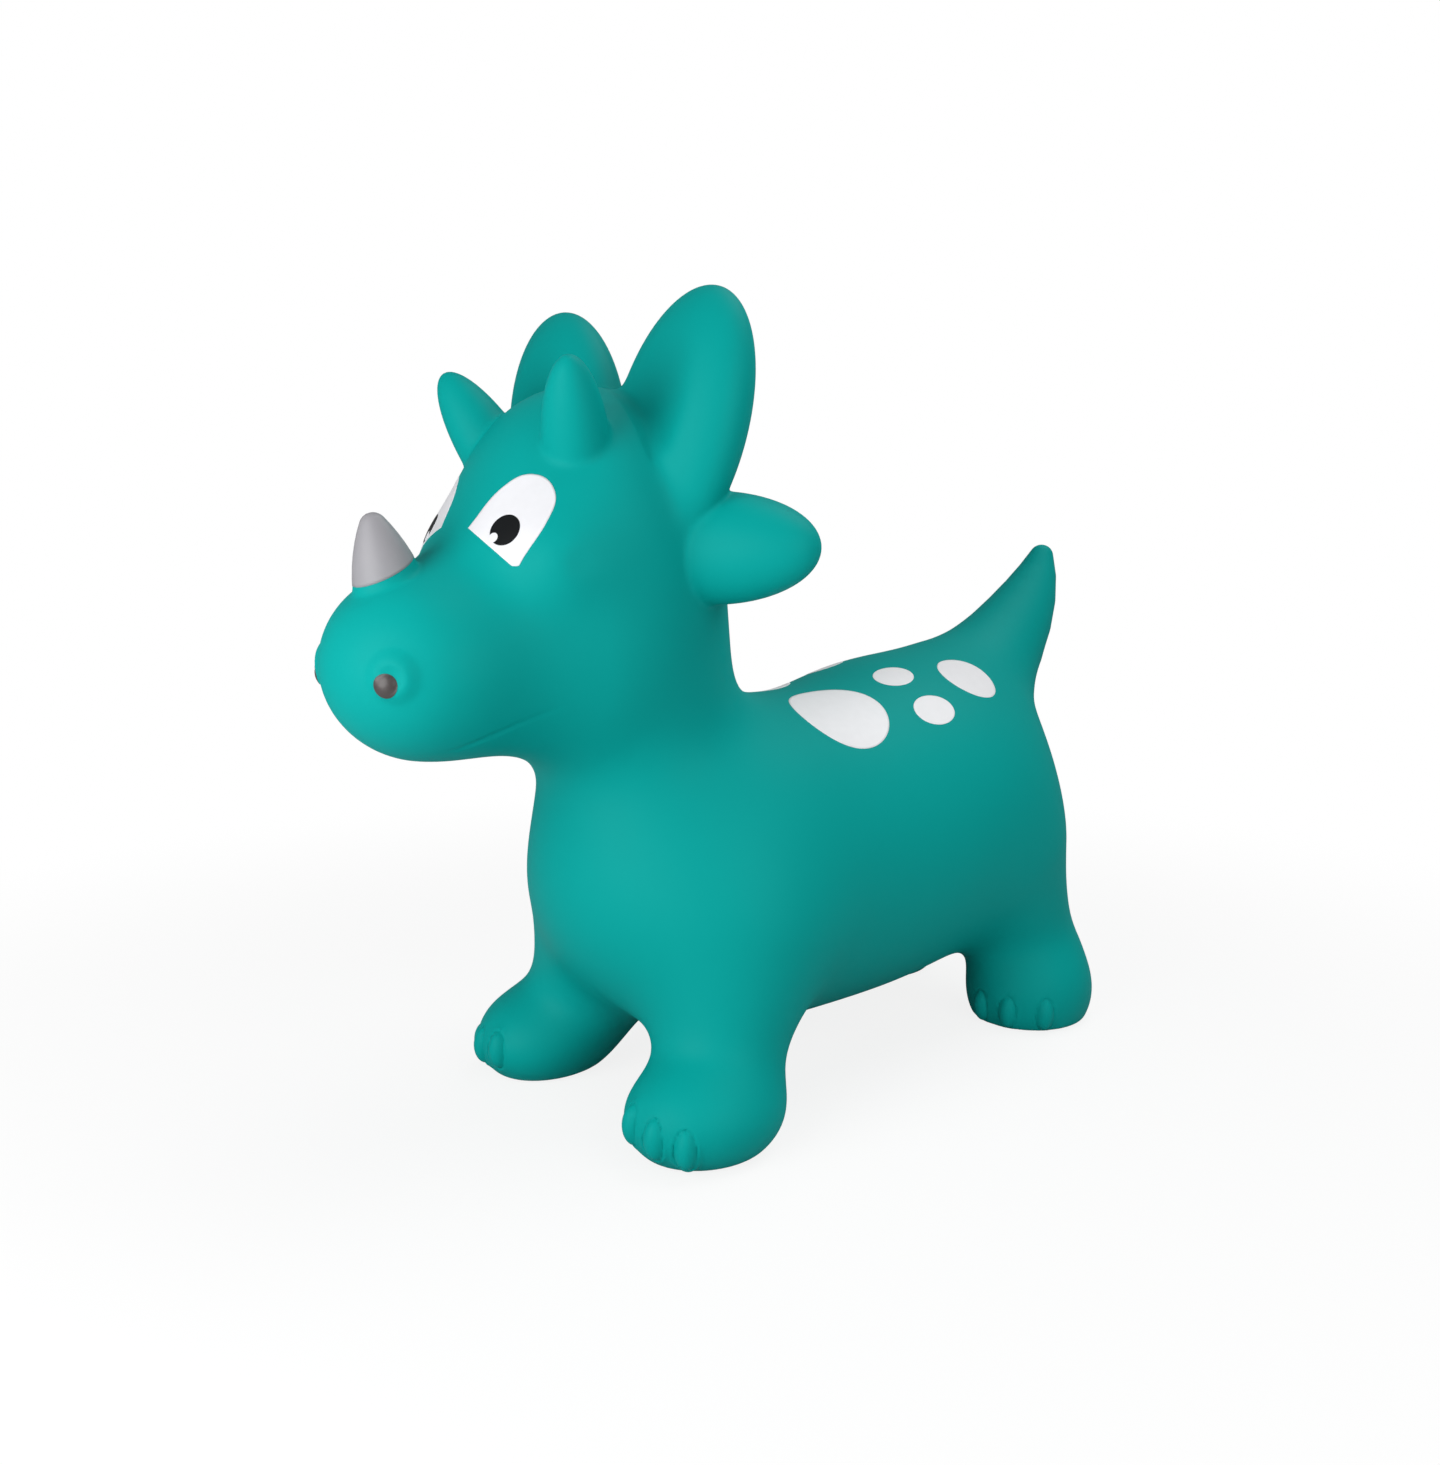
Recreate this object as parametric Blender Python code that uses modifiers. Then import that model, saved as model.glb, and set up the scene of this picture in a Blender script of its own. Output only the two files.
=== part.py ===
"""Inflatable ride-on animal: a blown skin, the valve in its belly and the coats printed on it.

Metres, +Z up, the face towards -Y, the soles on z = 0 and the animal's own left at +X. The skin is one
smooth blend of rounded forms. Geometry Nodes work out the distance from that blend at every point and
mesh its surface, so horns, frill lobes, legs and tail grow out of the body without a seam, as in the mould.
"""
from math import ceil, cos, hypot, pi, radians, sin, sqrt

import bmesh
import bpy
from mathutils import Matrix, Vector
from mathutils.bvhtree import BVHTree

OBJECT_NAME = "animal_hopper"

# Main sizes: from the nose to the tail's tip, over both side lobes and up to the tops of the frill lobes
LENGTH = 0.6156
WIDTH = 0.2662
HEIGHT = 0.4915

# Wall, printed coats and clearances
WALL = 0.0020
COAT = 0.0004
CLEAR = 0.0003

# Fineness of the meshed skin and of the air chamber in it
SKIN_VOXEL = 0.0026
SKIN_FACES = 8400
CHAMBER_VOXEL = 0.005
CHAMBER_FACES = 2400
ROUND_STEPS = 32

TINY = 1e-6
UP = Vector((0.0, 0.0, 1.0))
ACROSS = Vector((1.0, 0.0, 0.0))
REAR = Vector((0.0, 1.0, 0.0))


def leaning(along, across):
    """Turn whose third column lies along one direction and whose first keeps close to another."""
    third = Vector(along).normalized()
    first = Vector(across)
    first = (first - third * third.dot(first)).normalized()
    return Matrix((first, third.cross(first), third)).transposed()


def reach(half, turn, direction):
    """How far a turned ellipsoid reaches from its centre along a direction."""
    return Vector(size * column.dot(direction) for size, column in zip(half, turn.col)).length


# Torso: the chest set back from the nose, the rump ahead of the tail's tip, the belly between them
CHEST_BACK = 0.2438
CHEST_HEIGHT = 0.1485
CHEST_HALF = (0.1025, 0.1065, 0.102)
RUMP_AHEAD = 0.1718
RUMP_HEIGHT = 0.1615
RUMP_HALF = (0.1085, 0.118, 0.104)
BELLY_BACK = 0.005
BELLY_HEIGHT = 0.138
BELLY_HALF = (0.102, 0.152, 0.1045)
TORSO_BLEND = 0.080
CHEST_AT = Vector((0.0, CHEST_BACK - LENGTH / 2.0, CHEST_HEIGHT))
RUMP_AT = Vector((0.0, LENGTH / 2.0 - RUMP_AHEAD, RUMP_HEIGHT))
BELLY_AT = Vector((0.0, (CHEST_AT.y + RUMP_AT.y) / 2.0 + BELLY_BACK, BELLY_HEIGHT))

# Head, set back from the nose and under the tops of the lobes, and the neck that carries it
HEAD_BACK = 0.1583
HEAD_DROP = 0.1245
HEAD_AT = Vector((0.0, HEAD_BACK - LENGTH / 2.0, HEIGHT - HEAD_DROP))
NECK_AT = CHEST_AT + Vector((0.0, -0.0405, 0.065))
NECK_R = 0.059
NAPE_AT = HEAD_AT + Vector((0.0, 0.022, -0.027))
NAPE_R = 0.066
NECK_BLEND = 0.051
CRANIUM_HALF = (0.075, 0.0643, 0.0733)
CRANIUM_BLEND = 0.047
FACE_AT = HEAD_AT + Vector((0.0, -0.0525, -0.0235))
FACE_HALF = (0.0616, 0.0208, 0.0194)
FACE_BLEND = 0.074
JAW_AT = HEAD_AT + Vector((0.0, -0.0095, -0.071))
JAW_R = 0.0706
MUZZLE_AT = HEAD_AT + Vector((0.0, -0.104, -0.079))
MUZZLE_HALF = (0.055, 0.0493, 0.0458)
CHIN_R = 0.0439
JAW_BLEND = 0.0447
HEAD_BLEND = 0.050

# Horns, each leaning along the direction given or from its root to its tip
BROW_HORN_AT = HEAD_AT + Vector((0.0385, -0.0275, 0.0294))
BROW_HORN_TURN = leaning((0.47, -0.43, 1.0), ACROSS)
BROW_HORN_HALF = (0.0192, 0.0192, 0.0618)
BROW_HORN_BLEND = 0.005
NOSE_HORN_AT = MUZZLE_AT + Vector((0.0, -0.0181, 0.0411))
NOSE_HORN_R = 0.0190
NOSE_HORN_BEND_R = 0.0160
NOSE_HORN_TIP_AT = MUZZLE_AT + Vector((0.0, -0.0261, 0.0739))
NOSE_HORN_TIP_R = 0.0072
NOSE_HORN_BLEND = 0.004
NOSE_COAT_RISE = 0.0107
NOSE_COAT_FACES = (0.0, -0.504, 0.864)

# Upright frill lobes, which reach up to the whole height, and side lobes, which span the whole width
FRILL_TURN = leaning((0.325, 0.14, 1.0), ACROSS)
FRILL_HALF = (0.0485, 0.028, 0.0815)
FRILL_OUT = 0.0535
FRILL_BACK = 0.0299
FRILL_BLEND = 0.014
FRILL_AT = Vector((FRILL_OUT, HEAD_AT.y + FRILL_BACK, HEIGHT - reach(FRILL_HALF, FRILL_TURN, UP)))
EAR_TURN = leaning((1.0, 0.30, 0.02), UP)
EAR_HALF = (0.032, 0.030, 0.0695)
EAR_BACK = 0.0435
EAR_DROP = 0.018
EAR_BLEND = 0.0055
EAR_OUT = WIDTH / 2.0 - reach(EAR_HALF, EAR_TURN, ACROSS)
EAR_AT = Vector((EAR_OUT, HEAD_AT.y + EAR_BACK, HEAD_AT.z - EAR_DROP))

# Legs and feet: the front pair under the chest and the hind pair under the rump
FRONT_HIP_AT = Vector((0.058, CHEST_AT.y - 0.0155, 0.1195))
FRONT_HIP_R = 0.0505
FRONT_ANKLE_AT = Vector((0.070, CHEST_AT.y - 0.0375, 0.048))
FRONT_ANKLE_R = 0.0365
FRONT_FOOT_AT = Vector((0.0825, CHEST_AT.y - 0.061, 0.0225))
FRONT_FOOT_HALF = (0.042, 0.049, 0.033)
FRONT_TOES = (radians(-14.0), radians(8.0), radians(34.0))
FRONT_TOE_HEIGHT = 0.0235
HIND_HIP_AT = Vector((0.053, RUMP_AT.y + 0.0365, 0.123))
HIND_HIP_R = 0.0495
HIND_ANKLE_AT = Vector((0.068, RUMP_AT.y + 0.0715, 0.050))
HIND_ANKLE_R = 0.033
HIND_FOOT_AT = Vector((0.075, RUMP_AT.y + 0.0625, 0.0195))
HIND_FOOT_HALF = (0.044, 0.047, 0.043)
HIND_TOES = (radians(-11.0), radians(17.0), radians(52.0))
HIND_TOE_HEIGHT = 0.0160
FOOT_TURN = Matrix.Rotation(radians(-9.0), 3, "Z")
FOOT_BLEND = 0.031
LEG_BLEND = 0.054
SOLE_BLEND = 0.004
TOE_HALF = (0.0104, 0.0120, 0.0200)
TOE_PROUD = 0.0022
TOE_BLEND = 0.004

# Tail, bent up from the rump to a tip at the end of the whole length
TAIL_ROOT_AT = RUMP_AT + Vector((0.0, 0.0655, 0.068))
TAIL_ROOT_R = 0.042
TAIL_BEND_AT = RUMP_AT + Vector((0.0, 0.148, 0.1235))
TAIL_BEND_R = 0.030
TAIL_TIP_R = 0.0093
TAIL_TIP_HEIGHT = 0.334
TAIL_TIP_AT = Vector((0.0, LENGTH / 2.0 - TAIL_TIP_R, TAIL_TIP_HEIGHT))
TAIL_BLEND = 0.072
BEND_STEPS = 6

# Nostrils: a low mound with a dish in its top and a small ball in the dish
NOSTRIL_AT = MUZZLE_AT + Vector((0.0398, -0.039, -0.0027))
NOSTRIL_TURN = leaning((0.66, -0.75, -0.05), UP)
MOUND_HALF = (0.0158, 0.0158, 0.0100)
MOUND_PROUD = 0.0042
MOUND_BLEND = 0.005
DISH_R = 0.0150
DISH_DEPTH = 0.0030
DISH_BLEND = 0.004
BALL_AT = MUZZLE_AT + Vector((0.0372, -0.0413, -0.0044))
BALL_R = 0.0078
BALL_PROUD = 0.0048
BALL_BLEND = 0.001
NOSTRIL_DOT_R = 0.0063

# Printed eyes: outline and pupil across and up in the plane that faces along EYE_FACES
EYE_AT = HEAD_AT + Vector((0.0398, -0.0667, 0.0015))
EYE_FACES = Vector((0.349, -0.799, 0.490))
EYE_OUTLINE = (
    (-0.0297, -0.0088, "VECTOR"),
    (0.0044, -0.0305, "VECTOR"),
    (0.0082, -0.0301, "VECTOR"),
    (0.0185, -0.0050, "AUTO"),
    (0.0170, 0.0150, "AUTO"),
    (0.0025, 0.0228, "AUTO"),
    (-0.0145, 0.0150, "AUTO"),
)
PUPIL_AT = (-0.0040, -0.0111)
PUPIL_R = 0.0090
GLINT_AT = (-0.0098, -0.0158)
GLINT_R = 0.0028

# Printed spots on each side of the back: place along the body from the rump, angle off the back's top,
# and half lengths along and across the body
SPOTS = (
    ("spot_large", -0.1146, radians(30.5), 0.0340, 0.0340),
    ("spot_small", -0.0483, radians(19.0), 0.0148, 0.0130),
    ("spot_middle", -0.0477, radians(42.2), 0.0153, 0.0130),
    ("spot_rear", 0.0073, radians(29.6), 0.0219, 0.0227),
)
PRINT_DEPTH = 0.020

# Valve in the middle of the belly and its stopper
VALVE_PAD_R = 0.0160
VALVE_PAD_DEPTH = 0.0022
SEAT_FLANGE_R = 0.0125
SEAT_FLANGE_THICK = 0.0014
SEAT_TUBE_R = 0.0070
SEAT_LENGTH = 0.0180
SEAT_BORE_R = 0.0042
PLUG_HEAD_R = 0.0080
PLUG_HEAD_THICK = 0.0022
PLUG_RIM = 0.0007
PLUG_SHANK_R = 0.0038
PLUG_TIP_R = 0.0031
PLUG_LENGTH = 0.0160


class Field:
    """A value at every point of space: maths on it adds Geometry Nodes to its tree."""

    NUMBERS = ("LENGTH", "DISTANCE", "DOT_PRODUCT")

    def __init__(self, tree, socket):
        self.tree = tree
        self.socket = socket

    def node(self, kind, operation, *inputs):
        """Math or Vector Math node fed by fields and by plain values."""
        node = self.tree.nodes.new(kind)
        node.operation = operation
        for slot, value in zip(node.inputs, inputs):
            if isinstance(value, Field):
                self.tree.links.new(value.socket, slot)
            else:
                slot.default_value = value
        return Field(self.tree, node.outputs["Value" if operation in self.NUMBERS else 0])

    def math(self, operation, *others):
        return self.node("ShaderNodeMath", operation, self, *others)

    def vector(self, operation, *others):
        return self.node("ShaderNodeVectorMath", operation, self, *others)

    def __add__(self, other):
        return self.math("ADD", other)

    def __sub__(self, other):
        return self.math("SUBTRACT", other)

    def __mul__(self, other):
        return self.math("MULTIPLY", other)

    def __truediv__(self, other):
        return self.math("DIVIDE", other)

    def __neg__(self):
        return self.math("MULTIPLY", -1.0)

    def blend(self, other, reach):
        """Smooth union with another form."""
        return self.math("SMOOTH_MIN", other, reach)

    def carve(self, other, reach):
        """What is left of this form when another is taken out of it."""
        return self.math("SMOOTH_MAX", -other, reach)


class Mould:
    """The animal's outside as a distance field, with the box that it fills."""

    def __init__(self, tree):
        self.low = Vector((0.0, 0.0, 0.0))
        self.high = Vector((0.0, 0.0, 0.0))
        self.tree = tree
        self.point = self.mirrored_point()
        self.outside = self.animal()

    def mirrored_point(self):
        """Position with x made positive, so that both sides get the same forms."""
        position = self.tree.nodes.new("GeometryNodeInputPosition")
        apart = self.tree.nodes.new("ShaderNodeSeparateXYZ")
        self.tree.links.new(position.outputs[0], apart.inputs[0])
        x, y, z = (Field(self.tree, socket) for socket in apart.outputs)
        return self.together(x.math("ABSOLUTE"), y, z)

    def together(self, *numbers):
        """One vector from three numbers."""
        node = self.tree.nodes.new("ShaderNodeCombineXYZ")
        for slot, number in zip(node.inputs, numbers):
            self.tree.links.new(number.socket, slot)
        return Field(self.tree, node.outputs[0])

    def holds(self, centre, reach):
        """Grow the box to take in a ball."""
        for axis in range(3):
            self.high[axis] = max(self.high[axis], centre[axis] + reach)
            self.low[axis] = min(self.low[axis], centre[axis] - reach)
        self.low.x = -self.high.x

    def ball(self, centre, radius):
        self.holds(centre, radius)
        return self.point.vector("DISTANCE", centre) - radius

    def egg(self, centre, half, turn=Matrix.Identity(3)):
        """Ellipsoid whose half lengths lie along the columns of turn."""
        self.holds(centre, max(half))
        away = self.point.vector("SUBTRACT", centre)
        local = self.together(*(away.vector("DOT_PRODUCT", column) for column in turn.col))
        near = local.vector("DIVIDE", half).vector("LENGTH").math("MAXIMUM", TINY)
        steep = local.vector("DIVIDE", [size ** 2 for size in half]).vector("LENGTH")
        return near * (near - 1.0) / steep.math("MAXIMUM", TINY)

    def round_cone(self, start, start_r, end, end_r):
        """Two balls and the straight cone that wraps them."""
        self.holds(start, start_r)
        self.holds(end, end_r)
        axis = Vector(end) - Vector(start)
        run = axis.length
        narrowing = start_r - end_r
        lean = narrowing / sqrt(run ** 2 - narrowing ** 2)
        away = self.point.vector("SUBTRACT", start)
        along = away.vector("DOT_PRODUCT", axis / run)
        off = (away.vector("DOT_PRODUCT", away) - along * along).math("MAXIMUM", 0.0).math("SQRT")
        share = ((along - off * lean) / run).math("MAXIMUM", 0.0).math("MINIMUM", 1.0)
        past = along - share * run
        return (past * past + off * off).math("SQRT") + share * narrowing - start_r

    def animal(self):
        """Every form in turn, from the chest out to the tail, cut flat under the feet."""
        form = self.egg(CHEST_AT, CHEST_HALF)
        form = form.blend(self.egg(BELLY_AT, BELLY_HALF), TORSO_BLEND)
        form = form.blend(self.egg(RUMP_AT, RUMP_HALF), TORSO_BLEND)
        form = form.blend(self.round_cone(NECK_AT, NECK_R, NAPE_AT, NAPE_R), NECK_BLEND)
        form = self.with_head(form)
        leg = self.round_cone(FRONT_HIP_AT, FRONT_HIP_R, FRONT_ANKLE_AT, FRONT_ANKLE_R)
        foot = self.egg(FRONT_FOOT_AT, FRONT_FOOT_HALF, FOOT_TURN)
        form = form.blend(leg.blend(foot, FOOT_BLEND), LEG_BLEND)
        form = self.with_toes(form, FRONT_FOOT_AT, FRONT_FOOT_HALF, FRONT_TOES, FRONT_TOE_HEIGHT)
        leg = self.round_cone(HIND_HIP_AT, HIND_HIP_R, HIND_ANKLE_AT, HIND_ANKLE_R)
        foot = self.egg(HIND_FOOT_AT, HIND_FOOT_HALF, FOOT_TURN)
        form = form.blend(leg.blend(foot, FOOT_BLEND), LEG_BLEND)
        form = self.with_toes(form, HIND_FOOT_AT, HIND_FOOT_HALF, HIND_TOES, HIND_TOE_HEIGHT)
        tail_places = (TAIL_ROOT_AT, TAIL_BEND_AT, TAIL_TIP_AT)
        tail = self.bent_cone(tail_places, (TAIL_ROOT_R, TAIL_BEND_R, TAIL_TIP_R))
        form = form.blend(tail, TAIL_BLEND)
        form = self.with_horns(form)
        height = self.point.vector("DOT_PRODUCT", UP)
        return form.carve(height, SOLE_BLEND)

    def with_head(self, form):
        """Cranium, face, muzzle and jaw, and a nostril on each side of the muzzle."""
        form = form.blend(self.egg(HEAD_AT, CRANIUM_HALF), CRANIUM_BLEND)
        form = form.blend(self.egg(FACE_AT, FACE_HALF), FACE_BLEND)
        muzzle = self.egg(MUZZLE_AT, MUZZLE_HALF)
        jaw = self.round_cone(JAW_AT, JAW_R, MUZZLE_AT, CHIN_R)
        form = form.blend(muzzle.blend(jaw, JAW_BLEND), HEAD_BLEND)
        outward = NOSTRIL_TURN.col[2]
        mound_at = NOSTRIL_AT + outward * (MOUND_PROUD - MOUND_HALF[2])
        form = form.blend(self.egg(mound_at, MOUND_HALF, NOSTRIL_TURN), MOUND_BLEND)
        dish_at = NOSTRIL_AT + outward * (MOUND_PROUD - DISH_DEPTH + DISH_R)
        form = form.carve(self.point.vector("DISTANCE", dish_at) - DISH_R, DISH_BLEND)
        ball_at = BALL_AT + outward * (BALL_PROUD - BALL_R)
        return form.blend(self.ball(ball_at, BALL_R), BALL_BLEND)

    def with_toes(self, form, foot, foot_half, angles, height):
        """Toes round the front of a foot, each standing a little out of its edge."""
        for angle in angles:
            out = Vector((sin(angle), -cos(angle), 0.0))
            in_foot = FOOT_TURN.transposed() @ out
            edge = 1.0 / hypot(in_foot.x / foot_half[0], in_foot.y / foot_half[1])
            toe = Vector((foot.x, foot.y, height)) + out * (edge + TOE_PROUD - TOE_HALF[1])
            form = form.blend(self.egg(toe, TOE_HALF, leaning(UP, UP.cross(out))), TOE_BLEND)
        return form

    def bent_cone(self, places, sizes):
        """Tapered form from a root to a tip, bent towards the place and the size between them."""
        rings = []
        for step in range(BEND_STEPS + 1):
            share = step / BEND_STEPS
            weights = ((1.0 - share) ** 2, 2.0 * share * (1.0 - share), share ** 2)
            middle = sum((place * weight for place, weight in zip(places, weights)), Vector())
            rings.append((middle, sum(size * weight for size, weight in zip(sizes, weights))))
        form = self.ball(*rings[0])
        for ring, following in zip(rings, rings[1:]):
            form = form.math("MINIMUM", self.round_cone(*ring, *following))
        return form

    def with_horns(self, form):
        """Brow horns, nose horn, upright frill lobes and side lobes."""
        form = form.blend(self.egg(BROW_HORN_AT, BROW_HORN_HALF, BROW_HORN_TURN), BROW_HORN_BLEND)
        nose_places = (NOSE_HORN_AT, (NOSE_HORN_AT + NOSE_HORN_TIP_AT) / 2.0, NOSE_HORN_TIP_AT)
        nose_horn = self.bent_cone(nose_places, (NOSE_HORN_R, NOSE_HORN_BEND_R, NOSE_HORN_TIP_R))
        form = form.blend(nose_horn, NOSE_HORN_BLEND)
        form = form.blend(self.egg(FRILL_AT, FRILL_HALF, FRILL_TURN), FRILL_BLEND)
        return form.blend(self.egg(EAR_AT, EAR_HALF, EAR_TURN), EAR_BLEND)


def placed(centre, facing, across):
    """Matrix that sets a flat outline at a point, facing along one direction."""
    matrix = leaning(facing, across).to_4x4()
    matrix.translation = centre
    return matrix


def plain_mesh(thing, name):
    """Copy of an object's mesh with its modifiers worked in."""
    bpy.context.view_layer.update()
    graph = bpy.context.evaluated_depsgraph_get()
    mesh = bpy.data.meshes.new_from_object(thing.evaluated_get(graph))
    mesh.name = name
    return mesh


def add_part(name, mesh, finish):
    thing = bpy.data.objects.new(name, mesh)
    parts.objects.link(thing)
    mesh.materials.clear()
    mesh.materials.append(finish)
    return thing


def add_cutter(name, mesh):
    thing = bpy.data.objects.new(name, mesh)
    cutters.objects.link(thing)
    thing.hide_render = True
    thing.display_type = "WIRE"
    return thing


def boolean(thing, operation, cutter):
    step = thing.modifiers.new(operation.lower() + "_" + cutter.name, "BOOLEAN")
    step.operation = operation
    step.object = cutter


def material(name, colour, roughness):
    finish = bpy.data.materials.new(name)
    finish.use_nodes = True
    shader = finish.node_tree.nodes["Principled BSDF"]
    shader.inputs["Base Color"].default_value = (*colour, 1.0)
    shader.inputs["Roughness"].default_value = roughness
    shader.inputs["Metallic"].default_value = 0.0
    return finish


def form_mesh(name, inset, voxel, faces):
    """Surface of the animal, a given depth under its outside, thinned to about a number of faces."""
    tree = bpy.data.node_groups.new(name, "GeometryNodeTree")
    tree.interface.new_socket("Geometry", in_out="OUTPUT", socket_type="NodeSocketGeometry")
    mould = Mould(tree)
    margin = Vector((3.0 * voxel, 3.0 * voxel, 3.0 * voxel))
    low, high = mould.low - margin, mould.high + margin
    volume = tree.nodes.new("GeometryNodeVolumeCube")
    tree.links.new((-(mould.outside + inset)).socket, volume.inputs["Density"])
    volume.inputs["Background"].default_value = -1.0
    volume.inputs["Min"].default_value = low
    volume.inputs["Max"].default_value = high
    for axis, letter in enumerate("XYZ"):
        volume.inputs["Resolution " + letter].default_value = ceil((high - low)[axis] / voxel)
    surface = tree.nodes.new("GeometryNodeVolumeToMesh")
    surface.inputs["Threshold"].default_value = 0.0
    tree.links.new(volume.outputs[0], surface.inputs["Volume"])
    result = tree.nodes.new("NodeGroupOutput")
    tree.links.new(surface.outputs[0], result.inputs[0])

    maker = add_cutter(name + "_maker", bpy.data.meshes.new(name + "_maker"))
    maker.modifiers.new("blend", "NODES").node_group = tree
    thinned = add_cutter(name + "_thinned", plain_mesh(maker, name))
    bpy.data.objects.remove(maker)
    thin = thinned.modifiers.new("thin", "DECIMATE")
    thin.ratio = min(1.0, faces / (2.0 * len(thinned.data.polygons)))
    thin.use_collapse_triangulate = True
    halves = thinned.modifiers.new("halves", "MIRROR")
    halves.use_bisect_axis[0] = True
    halves.merge_threshold = TINY
    mesh = plain_mesh(thinned, name)
    bpy.data.objects.remove(thinned)
    mesh.shade_smooth()
    return mesh


def grown(mesh, name, amount):
    """Cutter made of a surface moved out along its normals."""
    thing = add_cutter(name, mesh.copy())
    step = thing.modifiers.new("grow", "DISPLACE")
    step.mid_level = 0.0
    step.strength = amount
    return thing


def cylinder(name, radius, low, high, matrix=Matrix.Identity(4), top_radius=None):
    """Cutter: a round bar, or a cone, along the matrix's own Z from one height to another."""
    bar = bmesh.new()
    bmesh.ops.create_cone(bar, cap_ends=True, segments=ROUND_STEPS, radius1=radius,
                          radius2=radius if top_radius is None else top_radius, depth=high - low)
    bmesh.ops.translate(bar, verts=bar.verts, vec=UP * (low + high) / 2.0)
    mesh = bpy.data.meshes.new(name)
    bar.to_mesh(mesh)
    bar.free()
    mesh.transform(matrix)
    return add_cutter(name, mesh)


def prism(name, outline, matrix):
    """Closed mesh of a flat outline, PRINT_DEPTH to each side of the matrix's own plane."""
    curve = bpy.data.curves.new(name, "CURVE")
    curve.dimensions = "2D"
    curve.fill_mode = "BOTH"
    curve.extrude = PRINT_DEPTH
    curve.resolution_u = ROUND_STEPS // 4
    spline = curve.splines.new("BEZIER")
    spline.bezier_points.add(len(outline) - 1)
    spline.use_cyclic_u = True
    for point, (across, up, handle) in zip(spline.bezier_points, outline):
        point.co = (across, up, 0.0)
        point.handle_left_type = handle
        point.handle_right_type = handle
    drawn = bpy.data.objects.new(name, curve)
    cutters.objects.link(drawn)
    mesh = plain_mesh(drawn, name)
    bpy.data.objects.remove(drawn)
    solid = bmesh.new()
    solid.from_mesh(mesh)
    bmesh.ops.remove_doubles(solid, verts=solid.verts, dist=TINY)
    bmesh.ops.recalc_face_normals(solid, faces=solid.faces)
    solid.to_mesh(mesh)
    solid.free()
    mesh.transform(matrix)
    return mesh


def turned(name, outline, centre, finish):
    """Part turned about the upright line through a point from an outline of radius and height."""
    profile = bmesh.new()
    corners = [profile.verts.new((radius, 0.0, height)) for radius, height in outline]
    for corner, following in zip(corners, corners[1:]):
        profile.edges.new((corner, following))
    if outline[0][0] > TINY:
        profile.edges.new((corners[-1], corners[0]))
    mesh = bpy.data.meshes.new(name)
    profile.to_mesh(mesh)
    profile.free()
    thing = add_part(name, mesh, finish)
    thing.location = centre
    spin = thing.modifiers.new("spin", "SCREW")
    spin.steps = ROUND_STEPS
    spin.render_steps = ROUND_STEPS
    spin.use_merge_vertices = True
    spin.merge_threshold = TINY
    return thing


def mirrored(mesh, name):
    """Copy of a mesh for the animal's right side."""
    copy = mesh.copy()
    copy.name = name
    copy.transform(Matrix.Scale(-1.0, 4, ACROSS))
    copy.flip_normals()
    return copy


def on_skin(start, direction):
    """Point where a straight line first meets the skin."""
    place, normal, index, distance = skin_tree.ray_cast(start, direction)
    if place is None:
        raise ValueError("the line misses the skin")
    return place


def printed(name, mesh, finish):
    """Coat over the skin wherever a solid cuts it, CLEAR above it and COAT thick."""
    film = add_part(name, mesh, finish)
    boolean(film, "INTERSECT", over_print)
    boolean(film, "DIFFERENCE", under_print)
    return film


def on_both_sides(name, mesh):
    """Left and right names with a mesh for each."""
    yield name + "_left", mesh
    yield name + "_right", mirrored(mesh, name + "_right")


def make_skin(mesh, pad):
    """Hollow skin, with a flat pad and a hole for the valve, thickened inside round them."""
    skin = add_part("skin", mesh, teal)
    chamber = add_cutter("chamber", form_mesh("chamber", WALL, CHAMBER_VOXEL, CHAMBER_FACES))
    boss = cylinder("valve_boss", VALVE_PAD_R + WALL, 0.0, pad.z + WALL,
                    Matrix.Translation((pad.x, pad.y, 0.0)))
    recess = cylinder("valve_pad", VALVE_PAD_R, -pad.z, 0.0, Matrix.Translation(pad))
    hole = cylinder("valve_hole", SEAT_TUBE_R + CLEAR, -pad.z, SEAT_LENGTH, Matrix.Translation(pad))
    boolean(chamber, "DIFFERENCE", boss)
    boolean(skin, "DIFFERENCE", chamber)
    boolean(skin, "DIFFERENCE", recess)
    boolean(skin, "DIFFERENCE", hole)


def make_valve(pad):
    """Bush pushed into the belly with its flange under the pad, and the stopper pushed into the bush."""
    under_flange = -CLEAR - SEAT_FLANGE_THICK
    turned("valve_seat", (
        (SEAT_BORE_R, SEAT_LENGTH),
        (SEAT_TUBE_R, SEAT_LENGTH),
        (SEAT_TUBE_R, -CLEAR),
        (SEAT_FLANGE_R, -CLEAR),
        (SEAT_FLANGE_R, under_flange),
        (SEAT_BORE_R, under_flange),
    ), pad, white)
    head_top = under_flange - CLEAR
    turned("valve_plug", (
        (0.0, head_top + PLUG_LENGTH),
        (PLUG_TIP_R, head_top + PLUG_LENGTH),
        (PLUG_SHANK_R, head_top + PLUG_LENGTH - PLUG_TIP_R),
        (PLUG_SHANK_R, head_top),
        (PLUG_HEAD_R, head_top),
        (PLUG_HEAD_R, head_top - PLUG_HEAD_THICK + PLUG_RIM),
        (PLUG_HEAD_R - PLUG_RIM, head_top - PLUG_HEAD_THICK),
        (0.0, head_top - PLUG_HEAD_THICK),
    ), pad, white)


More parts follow.
